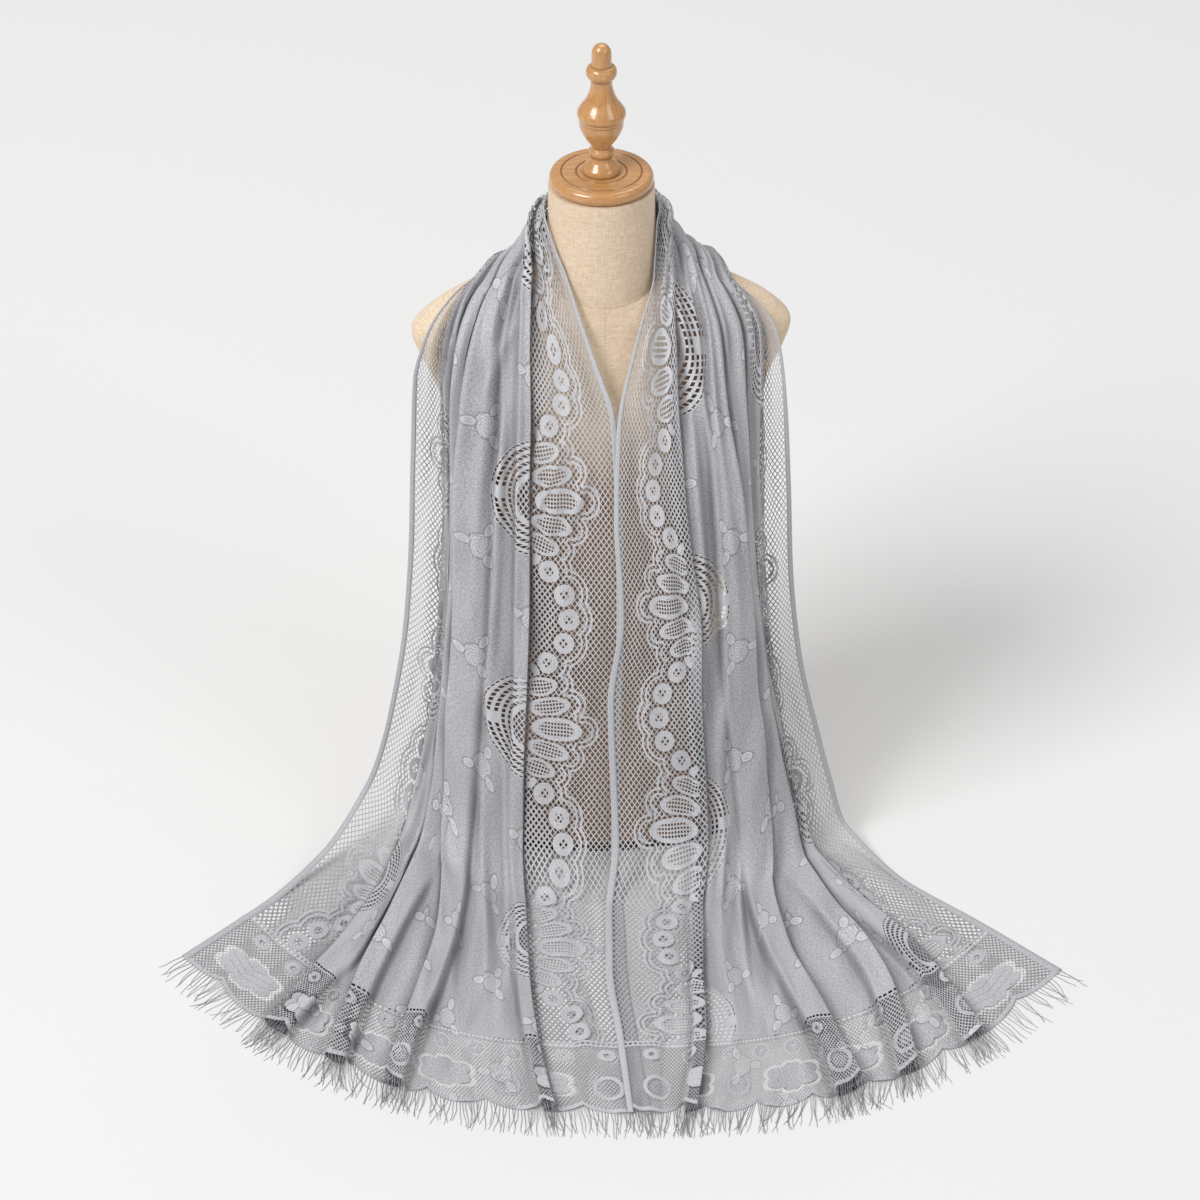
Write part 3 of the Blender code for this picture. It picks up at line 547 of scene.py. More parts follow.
def painted_fold_shade(run, height):
    """How far each point of a row lies below the cloth beside and over it, as a share of painted shade."""
    steps = np.arange(len(run))
    fine = np.linspace(0, len(run) - 1, 4 * len(run))
    bins = ((np.interp(fine, steps, run) - run.min()) / SHADE_BIN).astype(int)
    top = np.full(bins.max() + 1, height.min())
    np.maximum.at(top, bins, np.interp(fine, steps, height))
    padded = np.pad(top, SHADE_NEAR, mode="edge")
    near = np.max([padded[k:k + len(top)] for k in range(2 * SHADE_NEAR + 1)], axis=0)
    wide = np.convolve(np.pad(top, SHADE_WIDE, mode="edge"), np.ones(2 * SHADE_WIDE + 1), "valid")
    own = ((run - run.min()) / SHADE_BIN).astype(int)
    beside = share_of((near[own] - height - 1.0) / 4.0)
    valley = share_of((wide[own] / (2 * SHADE_WIDE + 1) - height) / 2.5)
    shade_under_cloth = share_of((top[own] - height - 1.2) / 1.5)
    return share_of(SHADE_BESIDE * beside + SHADE_VALLEY * valley + SHADE_COVERED * shade_under_cloth)


def cloth_rows(half, paths, samples, back=False):
    """Grid of cloth points in mm, with each one's flat distance from the inner edge and its painted fold
    shade.
    """
    table = row_table(half.rows)
    lift = LEFT_INNER_LIFT if back else half.lift
    grid, flats, painted_shades = [], [], []
    for path in paths:
        controls = cross_points(half.pleats, table, path, lift)
        line = smooth_curve(np.arange(len(controls)), controls, samples)
        normals = base_normals(table, path, line[:, 0], half.side)
        height = line[:, 1] + relief(half, path, line[:, 2])
        points = base_points(table, path, line[:, 0]) + normals * height[:, None]
        run = line[:, 0] * row_width(table, path)
        push = stack_push(points, normals, run)
        grid.append(points + normals * push[:, None])
        flats.append(line[:, 2])
        painted_shades.append(painted_fold_shade(run, height))
    grid = np.array(grid)
    grid[..., 2] = np.maximum(grid[..., 2], 0.0) + FLOOR_LIFT
    return grid, np.array(flats), blurred(np.array(painted_shades))


def wave_of(half, path):
    """Pattern distance along the cloth in m, 0 at a shell, running smoothly through the nape."""
    signed = path * half.side
    ramp = share_of((PHASE_RAMP - signed) / (2 * PHASE_RAMP))
    left_wave = signed - LEFT_SHELL + PHASE_SHIFT * ramp
    if half.side > 0:
        return left_wave * MM
    return -(left_wave + LEFT_SHELL - PHASE_SHIFT + RIGHT_SHELL) * MM


def linked(obj, material):
    """Puts a piece in the scene, with its material and the body that it rides on."""
    bpy.context.scene.collection.objects.link(obj)
    obj.data.materials.append(material)
    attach(obj, "root")
    return obj


def mesh_object(name, verts, faces, material):
    """A smooth mesh piece from points in mm."""
    mesh = bpy.data.meshes.new(name)
    mesh.from_pydata((np.asarray(verts) * MM).tolist(), [], faces)
    mesh.update()
    mesh.shade_smooth()
    return linked(bpy.data.objects.new(name, mesh), material)


def grid_quads(rows, columns, flip, closed=False):
    """Quads over a grid of rows by columns."""
    faces = []
    for i in range(rows - 1):
        for j in range(columns if closed else columns - 1):
            k = (j + 1) % columns
            quad = (i * columns + j, i * columns + k, (i + 1) * columns + k, (i + 1) * columns + j)
            faces.append(quad[::-1] if flip else quad)
    return faces


def add_uv(mesh, name, values):
    """A UV layer from one pair for each corner of the mesh."""
    mesh.uv_layers.new(name=name).data.foreach_set("uv", np.asarray(values, np.float32).ravel())


def blurred(painted_shades):
    """Painted fold shade softened along the cloth and a little across it."""
    for kernel, axis in (((1, 2, 3, 4, 3, 2, 1), 0), ((1, 2, 1), 1)):
        weights = np.array(kernel) / sum(kernel)
        reach = len(kernel) // 2
        edges = [(reach, reach) if axis == side else (0, 0) for side in range(2)]
        padded = np.pad(painted_shades, edges, mode="edge")
        painted_shades = np.apply_along_axis(np.convolve, axis, padded, weights, "valid")
    return painted_shades


def corner_verts(mesh):
    """The point that each corner of a mesh's faces uses."""
    corners = np.empty(len(mesh.loops), np.int32)
    mesh.loops.foreach_get("vertex_index", corners)
    return corners


def sheet_object(name, grid, flats, painted_shades, waves, flip, material):
    """One sheet of cloth, with its flat place as UV and a folded bake map."""
    rows, columns = flats.shape
    obj = mesh_object(name, grid.reshape(-1, 3), grid_quads(rows, columns, flip), material)
    mesh = obj.data
    corners = corner_verts(mesh)
    flat_m = flats.reshape(-1) * MM
    wave_m = np.repeat(waves, columns)
    add_uv(mesh, "lace", np.column_stack([flat_m[corners], wave_m[corners]]))
    # The fold layer carries the painted fold shade to the lace material
    add_uv(mesh, "fold", np.column_stack([painted_shades.reshape(-1)[corners], np.zeros(len(corners))]))
    row_of = corners // columns
    face_row = np.repeat(row_of.reshape(-1, 4).min(axis=1), 4)
    middle = rows // 2
    second = face_row >= middle
    low, high = flats.min(), flats.max()
    u = (flats.reshape(-1)[corners] - low) / (high - low)
    span = np.where(second, rows - 1 - middle, middle)
    v = (row_of - np.where(second, middle, 0)) / span
    add_uv(mesh, "OFBake", np.column_stack([0.005 + 0.49 * u + 0.5 * second, 0.005 + 0.99 * v]))
    mesh.uv_layers["lace"].active_render = True
    mesh.uv_layers["lace"].active = True
    return obj


def at_flat(grid, flats, wanted):
    """Points of each row at the wanted flat distances."""
    rising = np.maximum.accumulate(flats, axis=1)
    return np.array([points_at(wanted, known, points) for known, points in zip(rising, grid)])


def add_selvedge(name, grid, flats, wanted, flip, material):
    """The firm woven edge of the cloth, as its own narrow strip with a thickness."""
    strip = at_flat(grid, flats, wanted)
    rows, columns = strip.shape[:2]
    obj = mesh_object(name, strip.reshape(-1, 3), grid_quads(rows, columns, flip), material)
    corners = corner_verts(obj.data)
    run = running(step_lengths(strip[:, 0]))
    u = np.tile(np.asarray(wanted) * MM, rows)
    add_uv(obj.data, "lace", np.column_stack([u[corners], (np.repeat(run, columns) * MM)[corners]]))
    wall = obj.modifiers.new("wall", "SOLIDIFY")
    wall.thickness = SELVEDGE_THICK * MM
    wall.offset = 0.0
    return obj


# Fringe

THREAD_STEP = 2.9
THREAD_POINTS = 14
THREAD_RADIUS = 0.37
THREAD_LENGTH = 36.0
THREAD_SHORTEST = 0.6
THREAD_CURL = 3.6
THREAD_WIGGLE = 0.9
CLUMP = 3
CLUMP_LEAN = 0.15
CLUMP_PULL = 0.35
FRINGE_SEEDS = {"left": 7, "right": 11}
SCALLOP_LENGTH = 64.0
SCALLOP_DEPTH = 11.0
SCALLOP_POWER = 0.7


def scallop_at(flat):
    """How far the scalloped edge lies inside the hem line at a flat place, in mm."""
    share = np.abs(np.sin(math.pi * flat / SCALLOP_LENGTH))
    return 1.0 + SCALLOP_DEPTH * (1 - share ** SCALLOP_POWER)


def thread_tube(points, radius):
    """Three-sided tube along a thread, tapered to its tip."""
    ways = unit(np.gradient(points, axis=0))
    aside = np.cross(ways, (0.0, 0.0, 1.0))
    aside /= np.maximum(np.linalg.norm(aside, axis=1, keepdims=True), 1e-6)
    above = np.cross(aside, ways)
    rings = []
    for index, point in enumerate(points):
        size = radius * (1.0 - 0.35 * index / (len(points) - 1))
        for turn in range(3):
            angle = 2 * math.pi * turn / 3 + 0.5 * math.pi
            rings.append(point + size * (math.cos(angle) * aside[index] + math.sin(angle) * above[index]))
    return rings


def thread_line(rng, root, end, way, inside, lean):
    """Points of one loose thread, from inside the lace to its tip on the surface."""
    side = np.array([-way[1], way[0], 0.0])
    length = THREAD_LENGTH * (1 - (1 - THREAD_SHORTEST) * rng.random() ** 2) + inside
    t = np.linspace(0.0, 1.0, THREAD_POINTS)
    bend = lean + rng.normal(0, 0.05)
    curl = rng.normal(0.0, THREAD_CURL)
    wiggle = THREAD_WIGGLE * np.sin(2 * math.pi * (1.2 * t + rng.random())) * t
    across = bend * length * t**1.3 + curl * t**2 + wiggle
    forward = length * t - 0.5 * np.abs(curl) * t**2
    line = root + way * forward[:, None] + side * across[:, None]
    settle = share_of((forward - inside) / 20.0)
    low = 0.45 + 0.9 * rng.random() * np.sin(math.pi * t) ** 2
    surface = root[2] + (end[2] - root[2]) * share_of(forward / inside)
    line[:, 2] = surface + (low - surface) * settle**0.8
    return line


def add_fringe(half, grid, flats, material):
    """Loose threads from the scalloped edge of one end, in small clumps that cross a little."""
    rng = np.random.default_rng(FRINGE_SEEDS[half.name])
    count = int(CLOTH_WIDTH / THREAD_STEP)
    places = np.linspace(1.0, CLOTH_WIDTH - 1.0, count)
    starts, ends = (points_at(places, np.maximum.accumulate(flats[row]), grid[row]) for row in (-5, -1))
    outs = ends - starts
    ways = unit(outs * (1.0, 1.0, 0.0))
    outs = unit(outs)
    leans = np.repeat(rng.normal(0.0, CLUMP_LEAN, count // CLUMP + 1), CLUMP)[:count]
    pulls = np.tile(np.linspace(1.0, -1.0, CLUMP), count // CLUMP + 1)[:count]
    leans = leans + CLUMP_PULL * CLUMP * THREAD_STEP / THREAD_LENGTH * pulls
    quads = grid_quads(THREAD_POINTS, 3, False, closed=True)
    verts, faces = [], []
    for place, end, out, way, lean in zip(places, ends, outs, ways, leans):
        inside = scallop_at(place) + 1.5
        line = thread_line(rng, end - out * inside, end, way, inside, lean)
        first = len(verts)
        verts.extend(thread_tube(line, THREAD_RADIUS * (0.85 + 0.3 * rng.random())))
        faces.extend(tuple(first + k for k in quad) for quad in quads)
        last = len(verts) - 3
        faces.extend([(first + 2, first + 1, first), (last, last + 1, last + 2)])
    return mesh_object("fringe_threads_" + half.name, verts, faces, material)


# Node helper

def math_node(operation):
    """A method that puts one math node behind a field."""
    def method(self, *others):
        """The field and the others through the node."""
        return self.calc(operation, *others)
    return method


class Field:
    """A number that varies over a surface, as a socket of a node tree."""

    def __init__(self, tree, socket):
        self.tree = tree
        self.socket = socket

    def node(self, kind, values):
        """A new node, with a field or a number in each of the given inputs."""
        node = self.tree.nodes.new(kind)
        for place, value in values:
            if isinstance(value, Field):
                self.tree.links.new(value.socket, node.inputs[place])
            else:
                node.inputs[place].default_value = value
        return node

    def calc(self, operation, *others, clamp=False):
        """This field and the others through one math node."""
        node = self.node("ShaderNodeMath", enumerate((self,) + others))
        node.operation = operation
        node.use_clamp = clamp
        return Field(self.tree, node.outputs[0])

    __add__ = __radd__ = math_node("ADD")
    __sub__ = math_node("SUBTRACT")
    __mul__ = math_node("MULTIPLY")
    __truediv__ = math_node("DIVIDE")
    __abs__ = math_node("ABSOLUTE")
    __gt__ = math_node("GREATER_THAN")
    __lt__ = math_node("LESS_THAN")
    least = math_node("MINIMUM")
    most = math_node("MAXIMUM")

    def __rsub__(self, other):
        return self.calc("MULTIPLY_ADD", -1.0, other)

    def clamped(self, gain=1.0):
        """The field times a gain, kept between 0 and 1."""
        return self.calc("MULTIPLY", gain, clamp=True)

    def to_line(self, spacing):
        """Distance to the nearest of evenly spaced lines, in shares of the spacing."""
        return (self / spacing).calc("PINGPONG", 0.5)

    def within(self, low, high):
        """1 between two values, 0 elsewhere."""
        return (self > low) * (self < high)

    def mixed(self, other, share):
        """self where share is 0, other where it is 1."""
        node = self.node("ShaderNodeMix", ((0, share), (2, self), (3, other)))
        return Field(self.tree, node.outputs[0])


def hypot(x, y):
    """Length of (x, y)."""
    return (x * x + y * y).calc("SQRT")


def new_material(name, constants):
    """A node material with its tree and its shader, whose constant inputs are set by name."""
    material = bpy.data.materials.new(name)
    material.use_nodes = True
    shader = material.node_tree.nodes["Principled BSDF"]
    for key, value in constants.items():
        shader.inputs[key].default_value = value
    return material, material.node_tree, shader


def uv_fields(tree, layer):
    """The two parts of a UV layer."""
    source = tree.nodes.new("ShaderNodeUVMap")
    source.uv_map = layer
    parts = tree.nodes.new("ShaderNodeSeparateXYZ")
    tree.links.new(source.outputs["UV"], parts.inputs[0])
    return source.outputs["UV"], Field(tree, parts.outputs["X"]), Field(tree, parts.outputs["Y"])


def place_fields(tree):
    """Object coordinates, whole and in parts."""
    source = tree.nodes.new("ShaderNodeTexCoord")
    parts = tree.nodes.new("ShaderNodeSeparateXYZ")
    tree.links.new(source.outputs["Object"], parts.inputs[0])
    return source.outputs["Object"], [Field(tree, parts.outputs[axis]) for axis in "XYZ"]


def noise(tree, vector, scales, detail=3.0, rough=0.55):
    """Noise over a vector that is first scaled by axis."""
    mapping = tree.nodes.new("ShaderNodeMapping")
    mapping.inputs["Scale"].default_value = scales
    tree.links.new(vector, mapping.inputs["Vector"])
    made = tree.nodes.new("ShaderNodeTexNoise")
    made.noise_dimensions = "2D" if scales[2] == 0.0 else "3D"
    made.inputs["Scale"].default_value = 1.0
    made.inputs["Detail"].default_value = detail
    made.inputs["Roughness"].default_value = rough
    tree.links.new(mapping.outputs["Vector"], made.inputs["Vector"])
    return Field(tree, made.outputs["Fac"])


def tone(share, dark, light):
    """Colour between two, by a share."""
    tree = share.tree
    mix = tree.nodes.new("ShaderNodeMix")
    mix.data_type = "RGBA"
    tree.links.new(share.clamped().socket, mix.inputs["Factor"])
    for name, colour in (("A", dark), ("B", light)):
        socket = [s for s in mix.inputs if s.name == name and s.type == "RGBA"][0]
        if isinstance(colour, tuple):
            socket.default_value = colour + (1.0,)
        else:
            tree.links.new(colour, socket)
    return [s for s in mix.outputs if s.type == "RGBA"][0]


def wire(shader, colour, roughness, height, strength, distance):
    """Links a shader's colour and roughness, and a bump from a field."""
    tree = height.tree
    bump = tree.nodes.new("ShaderNodeBump")
    bump.inputs["Strength"].default_value = strength
    bump.inputs["Distance"].default_value = distance
    tree.links.new(height.socket, bump.inputs["Height"])
    tree.links.new(colour, shader.inputs["Base Color"])
    tree.links.new(roughness.socket, shader.inputs["Roughness"])
    tree.links.new(bump.outputs["Normal"], shader.inputs["Normal"])


# Lace pattern, in units of 0.95 mm across and 1.156 mm along. A zone says how far the net is closed,
# from its threads outwards: SOLID closes it all.

UNIT_WIDE = 0.95
PERIOD = 225.0
ALONG = PERIOD / 0.26
SOLID = 0.5
NET_WIDE = 5.6
NET_TALL = 7.2
HEM_WIDE = 4.1
HEM_TALL = 4.7
RING_SPOTS = ((56.4, 0.0), (61.0, 24.0), (77.0, 45.5), (95.0, 60.0))
RING_SIZE = 10.7
RING_CORE = 4.6
RING_REACH = 24.5
SHELL_LOBES = ((39.0, 0.0, 16.5), (51.0, 27.0, 15.0), (64.0, 46.0, 14.5))
PETALS = (
    (65.0, 0.0, 26.0, 12.0, 0.0), (73.5, 22.4, 22.0, 9.7, -0.18), (83.5, 41.6, 18.0, 9.4, -0.26),
)
SELVEDGE_END = 6.6
COLUMN_START = 95.0
SATIN_START = 110.0
MEDALLION = (112.0, 62.0, 53.0)
HEM_LADDER = 98.0
HEM_REPEAT = 132.0
SPRAY_WIDE = 62.0
SPRAY_TALL = 112.5
LEAVES = 3.0

LACE_DARK = (0.205, 0.205, 0.22)
LACE_LIGHT = (0.60, 0.60, 0.625)
# Painted shade colour that the lace takes in its folds, in valleys and under other cloth
LACE_PAINTED_SHADE = (0.045, 0.045, 0.052)
BAND_DARK = (0.30, 0.30, 0.32)
BAND_LIGHT = (0.62, 0.62, 0.645)
YARN_DARK = (0.16, 0.16, 0.175)
YARN_LIGHT = (0.42, 0.42, 0.45)
LACE_SURFACE = {"Sheen Weight": 0.18, "Sheen Roughness": 0.45, "Specular IOR Level": 0.35}
YARN_SURFACE = {"Sheen Weight": 0.15}


def laid(zone, *layers):
    """A zone with others laid over it in turn, each with the places that it covers."""
    for value, where in layers:
        zone = zone.mixed(value, where)
    return zone


def petal_field(x, q, petal):
    """Size of a petal's oval through a point, 1 on its rim, and the small holes in its rows."""
    centre_x, centre_q, long_half, short_half, tilt = petal
    dx, dq = x - centre_x, q - centre_q
    along = dx * math.cos(tilt) + dq * math.sin(tilt)
    across = dq * math.cos(tilt) - dx * math.sin(tilt)
    dots = (along.to_line(3.3) > 0.17) * (across.to_line(3.7) > 0.19)
    return hypot(along / long_half, across / short_half), dots


def border_zones(x, q, r):
    """Zone of the scalloped border, with r as the distance from the middle between two shells."""
    rings = [hypot(x - cx, r - cr) for cx, cr in RING_SPOTS]
    nearest = rings[0].least(rings[1]).least(rings[2].least(rings[3]))
    inside = (nearest * -1.0) + RING_REACH
    for cx, cq, size in SHELL_LOBES:
        inside = inside.most(size - hypot(x - cx, q - cq))
    inside = inside.most(x - (q * q * 0.0105 + 38.0)).most(x - (r * r * 0.0108 + 58.0))
    zone = laid(
        (inside > 0.0) * 0.375 + 0.125,
        (0.10, inside.within(2.2, 5.0)),
        (0.185, inside > 7.0),
        (0.10, nearest < RING_SIZE + 3.2),
        (SOLID, nearest < RING_SIZE),
        (0.22, nearest < RING_CORE),
    )
    shell_side = q < 56.0
    for petal in PETALS[::-1]:
        size, dots = petal_field(x, q, petal)
        zone = laid(
            zone,
            (0.09, (size < 1.2) * shell_side),
            (SOLID, (size < 1.0) * shell_side),
            (-0.1, dots * (size < 0.70) * shell_side),
        )
    return zone


def inner_zones(zone, x, q):
    """Lattice column, medallions and the satin middle, and the size of the medallion's oval."""
    start, wide, tall = MEDALLION
    zone = laid(zone, (0.14, x > COLUMN_START), (SOLID, x.within(109.8, start)))
    size = hypot((x - start) / wide, q / tall)
    band = (size * 8.6).calc("PINGPONG", 0.5) > 0.25
    dots = ((q / tall).calc("ARCTAN2", (x - start) / wide) * size * 54.0).to_line(5.2) > 0.15
    medallion = laid(
        band * dots * -0.6 + SOLID,
        (0.15, size < 0.40),
        (SOLID, size.within(0.40, 0.47).most(size > 0.985)),
        (SOLID, (x > start + 0.72 * wide) * (q < 4.5)),
    )
    return laid(zone, (SOLID, x > start), (medallion, (x > start) * (size < 1.0))), size


def hem_zones(zone, across_mm, hem):
    """Border at the end of the shawl: ladder line, net with flowers and leaves, scalloped edge."""
    flower = hypot((across_mm + 9.0).to_line(41.0) * 41.0, hem - 82.0)
    leaf_a = (across_mm + 30.0).to_line(HEM_REPEAT) * HEM_REPEAT
    leaf_h = hem - 41.0
    lobes = abs((leaf_h.calc("ARCTAN2", leaf_a) * 3.5).calc("SINE")) * 0.26 + 0.84
    leaf = hypot(leaf_a / 31.0, leaf_h / 17.0) / lobes
    vein = (leaf_h - leaf_a * 0.28).calc("PINGPONG", 4.2)
    ring_a = (across_mm + 96.0).to_line(HEM_REPEAT) * HEM_REPEAT
    ring = hypot(ring_a / 15.0, (hem - 36.0) / 17.0)
    bend = (across_mm * (math.pi / SCALLOP_LENGTH)).calc("SINE")
    past = hem - ((1 - abs(bend).calc("POWER", SCALLOP_POWER)) * SCALLOP_DEPTH + 1.0)
    ground = laid(
        (flower < 11.0) * -0.07 + 0.16,
        (SOLID, flower.within(3.0, 8.2)),
        (0.05, leaf < 1.2),
        (SOLID, leaf < 1.0),
        (0.36, (leaf < 0.86) * (vein < 0.4)),
        (SOLID, ring.within(0.72, 1.0)),
        (0.27, ring < 0.5),
        (SOLID, past < 5.5),
        (0.16, past.within(6.4, 9.4)),
    )
    ladder = hem.within(HEM_LADDER - 3.4, HEM_LADDER + 4.2)
    gap = hem.within(HEM_LADDER - 0.9, HEM_LADDER + 1.9) * (across_mm.to_line(5.0) > 0.17)
    return laid(zone, (ground, hem < HEM_LADDER), (SOLID, ladder)), gap, past < 0.0


def spray_field(x, y):
    """Woven rose sprays in the satin: up to 1 on their raised lines, below 0 round them."""
    column = (x - 150.0) / SPRAY_WIDE
    number = column.calc("FLOOR")
    cx = (column - number - 0.5) * SPRAY_WIDE
    shift = number.calc("MODULO", 2.0) * 56.0
    cy = (y + shift - SPRAY_TALL / 2) / SPRAY_TALL
    cy = (cy - cy.calc("ROUND")) * SPRAY_TALL
    angle = cy.calc("ARCTAN2", cx)
    radius = hypot(cx, cy)
    wobble = (angle * 5.0 + radius * 0.35).calc("SINE") * 1.1
    rose = (((radius + wobble) / 3.3).calc("PINGPONG", 0.5) > 0.3) * (radius < 11.5)
    leaf_turn = ((angle + number * 1.9) * (LEAVES / (2 * math.pi))).calc("PINGPONG", 0.5)
    aside = leaf_turn * radius * (2 * math.pi / LEAVES)
    leaf = hypot((radius - 18.0) / 6.6, aside / 4.3)
    raised = rose.most((leaf < 1.0) * ((leaf > 0.66) * 0.7 + 0.3)).most((leaf < 0.9) * (aside < 0.5))
    sunk = leaf.within(1.0, 1.35).most(radius.within(11.5, 13.5)) * (leaf > 1.0)
    return raised - sunk * 0.5


def lattice(x, y, wide, tall):
    """Distance to the nearest diagonal thread of a net, in shares of its spacing."""
    one = (x / wide + y / tall).calc("PINGPONG", 0.5)
    return one.least((x / wide - y / tall).calc("PINGPONG", 0.5))


def lace_material(name, hem_at):
    """Jacquard lace by nodes: net, scalloped border, medallions, satin with sprays and the end border."""
    material, tree, shader = new_material(name, LACE_SURFACE)
    vector, u, w = uv_fields(tree, "lace")
    x = u.least(CLOTH_WIDTH * MM - u) * 1000.0 / UNIT_WIDE
    y = w * ALONG
    q = abs(y - (y / PERIOD).calc("ROUND") * PERIOD)
    thread = lattice(x, y, NET_WIDE, NET_TALL)
    zone, medallion = inner_zones(border_zones(x, q, PERIOD / 2 - q), x, q)
    zone = zone.mixed(SOLID, x < SELVEDGE_END)
    gone, low = None, 0.0
    if hem_at is not None:
        hem = (hem_at - w) * 1000.0
        thread = thread.mixed(lattice(x, y, HEM_WIDE, HEM_TALL), hem < HEM_LADDER)
        zone, gap, cut = hem_zones(zone, u * 1000.0, hem)
        gone = gap.most(cut)
        low = ((380.0 - hem) / 200.0).clamped() * ((zone < 0.4) * 0.30 + 0.14)
    hole = thread > zone
    if gone is not None:
        hole = hole.most(gone)
    tree.links.new((1.0 - hole).socket, shader.inputs["Alpha"])
    satin = (x > SATIN_START) * (medallion > 1.0)
    fine = noise(tree, vector, (430.0, 520.0, 0.0), detail=2.0, rough=0.7)
    broad = noise(tree, vector, (38.0, 14.0, 0.0), detail=1.0)
    share = fine * 1.3 + broad * 0.25 - 0.22 + spray_field(x, y) * satin * 0.56
    # Painted shade: the threads darken towards the edges of the holes, more in the closed parts
    rim = ((thread - zone) / 0.10 + 1.0).clamped()
    lace_share = fine * 0.8 + 0.52 - rim * (0.25 + (zone > 0.14) * 0.30)
    outer = (u > 0.5 * CLOTH_WIDTH * MM) * 0.16
    share = share.mixed(lace_share - low - outer, 1.0 - satin)
    # Painted shade in the folds, in valleys and under other cloth, read from the fold layer
    fold = uv_fields(tree, "fold")[1]
    colour = tone(fold * 0.85, tone(share, LACE_DARK, LACE_LIGHT), LACE_PAINTED_SHADE)
    relief_height = fine * 0.9 - thread * (x < SATIN_START)
    wire(shader, colour, satin * -0.14 + 0.64, relief_height, 0.5, 0.0006)
    return material


def band_material():
    """The firm selvedge: fine ribs along its length, with painted shade on the shawl's outer edges."""
    material, tree, shader = new_material("selvedge_weave", YARN_SURFACE)
    vector, u, _ = uv_fields(tree, "lace")
    rib = u.to_line(0.0021)
    fine = noise(tree, vector, (900.0, 420.0, 0.0), detail=2.0)
    # Painted shade: the outer selvedges are darker than the inner ones, which run down the front towards
    # the light
    share = rib * 0.4 + fine * 1.1 - 0.03 - (u > 0.5 * CLOTH_WIDTH * MM) * 0.26
    wire(shader, tone(share, BAND_DARK, BAND_LIGHT), fine * 0.2 + 0.55, rib + fine * 0.4, 0.4, 0.0004)
    return material


def thread_material():
    """Fringe yarn with a little variation from thread to thread."""
    material, tree, shader = new_material("fringe_yarn", YARN_SURFACE)
    streak = noise(tree, place_fields(tree)[0], (500.0, 500.0, 500.0), detail=2.0)
    wire(shader, tone(streak * 1.2 - 0.1, YARN_DARK, YARN_LIGHT), streak * 0.2 + 0.6, streak, 0.3, 0.0002)
    return material


# Dress form

LINEN_DARK = (0.50, 0.37, 0.245)
LINEN_LIGHT = (0.86, 0.70, 0.53)
# Painted shade for the linen under the lace
LINEN_PAINTED_SHADE = (0.25, 0.12, 0.065)
# Painted shadow round the foot of the torso
LINEN_PAINTED_FOOT_SHADOW = (0.05, 0.03, 0.025)
LINEN_SURFACE = {"Sheen Weight": 0.12, "Specular IOR Level": 0.25}
# Strength of the painted shade under the lace
LINEN_SHADE_STRENGTH = 0.75
# Height of the painted shadow at the foot
FOOT_SHADOW_HEIGHT = 0.012
RING_SIDES = 120
LOFT_SHARP = math.radians(60)
TURNED_SHARP = math.radians(40)
TURNED_STEPS = 96
FINE_FROM = 540.0
FOOT_SHARE = 0.985
NECK_RINGS = 16
NECK_EASE = 0.25
STITCHES = 108
STITCH_SIZES = (0.30, 0.55, 0.62, 0.55)
STITCH_SIDES = 6
WOOD_DARK = (0.40, 0.175, 0.05)
WOOD_LIGHT = (0.64, 0.35, 0.135)
WOOD_GROOVE = (0.20, 0.07, 0.015)
WOOD_SURFACE = {"Coat Weight": 0.7, "Coat Roughness": 0.08}
# Grooves of the knob: height over its foot and half width, mm
KNOB_GROOVES = ((113.0, 1.1), (98.0, 1.3), (58.6, 0.9), (54.9, 0.9), (27.0, 1.2), (17.0, 1.4), (0.6, 1.4))


def linen_material():
    """Cream linen: slubs both ways, the pressed seam in front, painted shade where the lace covers it and a
    painted shadow round the foot.
    """
    material, tree, shader = new_material("cream_linen_weave", LINEN_SURFACE)
    vector, (x, y, z) = place_fields(tree)
    weft = noise(tree, vector, (130.0, 130.0, 800.0), detail=2.0)
    warp = noise(tree, vector, (800.0, 800.0, 110.0), detail=2.0)
    broad = noise(tree, vector, (9.0, 9.0, 7.0))
    side = x * math.cos(FORM_TURN) + y * math.sin(FORM_TURN)
    seam = (abs(side) < 0.00045) * (y < 0.0) * (z < 0.62)
    share = weft * 0.9 + warp * 0.8 + broad * 0.35 - 0.48 - seam * 0.22
    open_linen = tone(share, LINEN_DARK, LINEN_LIGHT)
    # Painted shade: the linen turns brown low in front and on the shoulders, where the lace covers it
    shade_under_cloth = ((0.50 - z) / 0.07).clamped(LINEN_SHADE_STRENGTH).least(LINEN_SHADE_STRENGTH)
    front = ((y + 0.028) / -0.045).clamped()
    beside = abs(x)
    under = ((beside - 0.05) / 0.02).clamped(LINEN_SHADE_STRENGTH).least(LINEN_SHADE_STRENGTH)
    under = under * ((0.118 - beside) / 0.012).clamped() * ((0.03 - y) / 0.03).clamped()
    painted_shade_linen = tone((shade_under_cloth * front).most(under), open_linen, LINEN_PAINTED_SHADE)
    # Painted shadow: a near-black band round the foot of the torso
    colour = tone((z < FOOT_SHADOW_HEIGHT) * 0.9, painted_shade_linen, LINEN_PAINTED_FOOT_SHADOW)
    wire(shader, colour, weft * 0.15 + 0.78, weft + warp - seam * 1.5, 0.35, 0.0004)
    return material


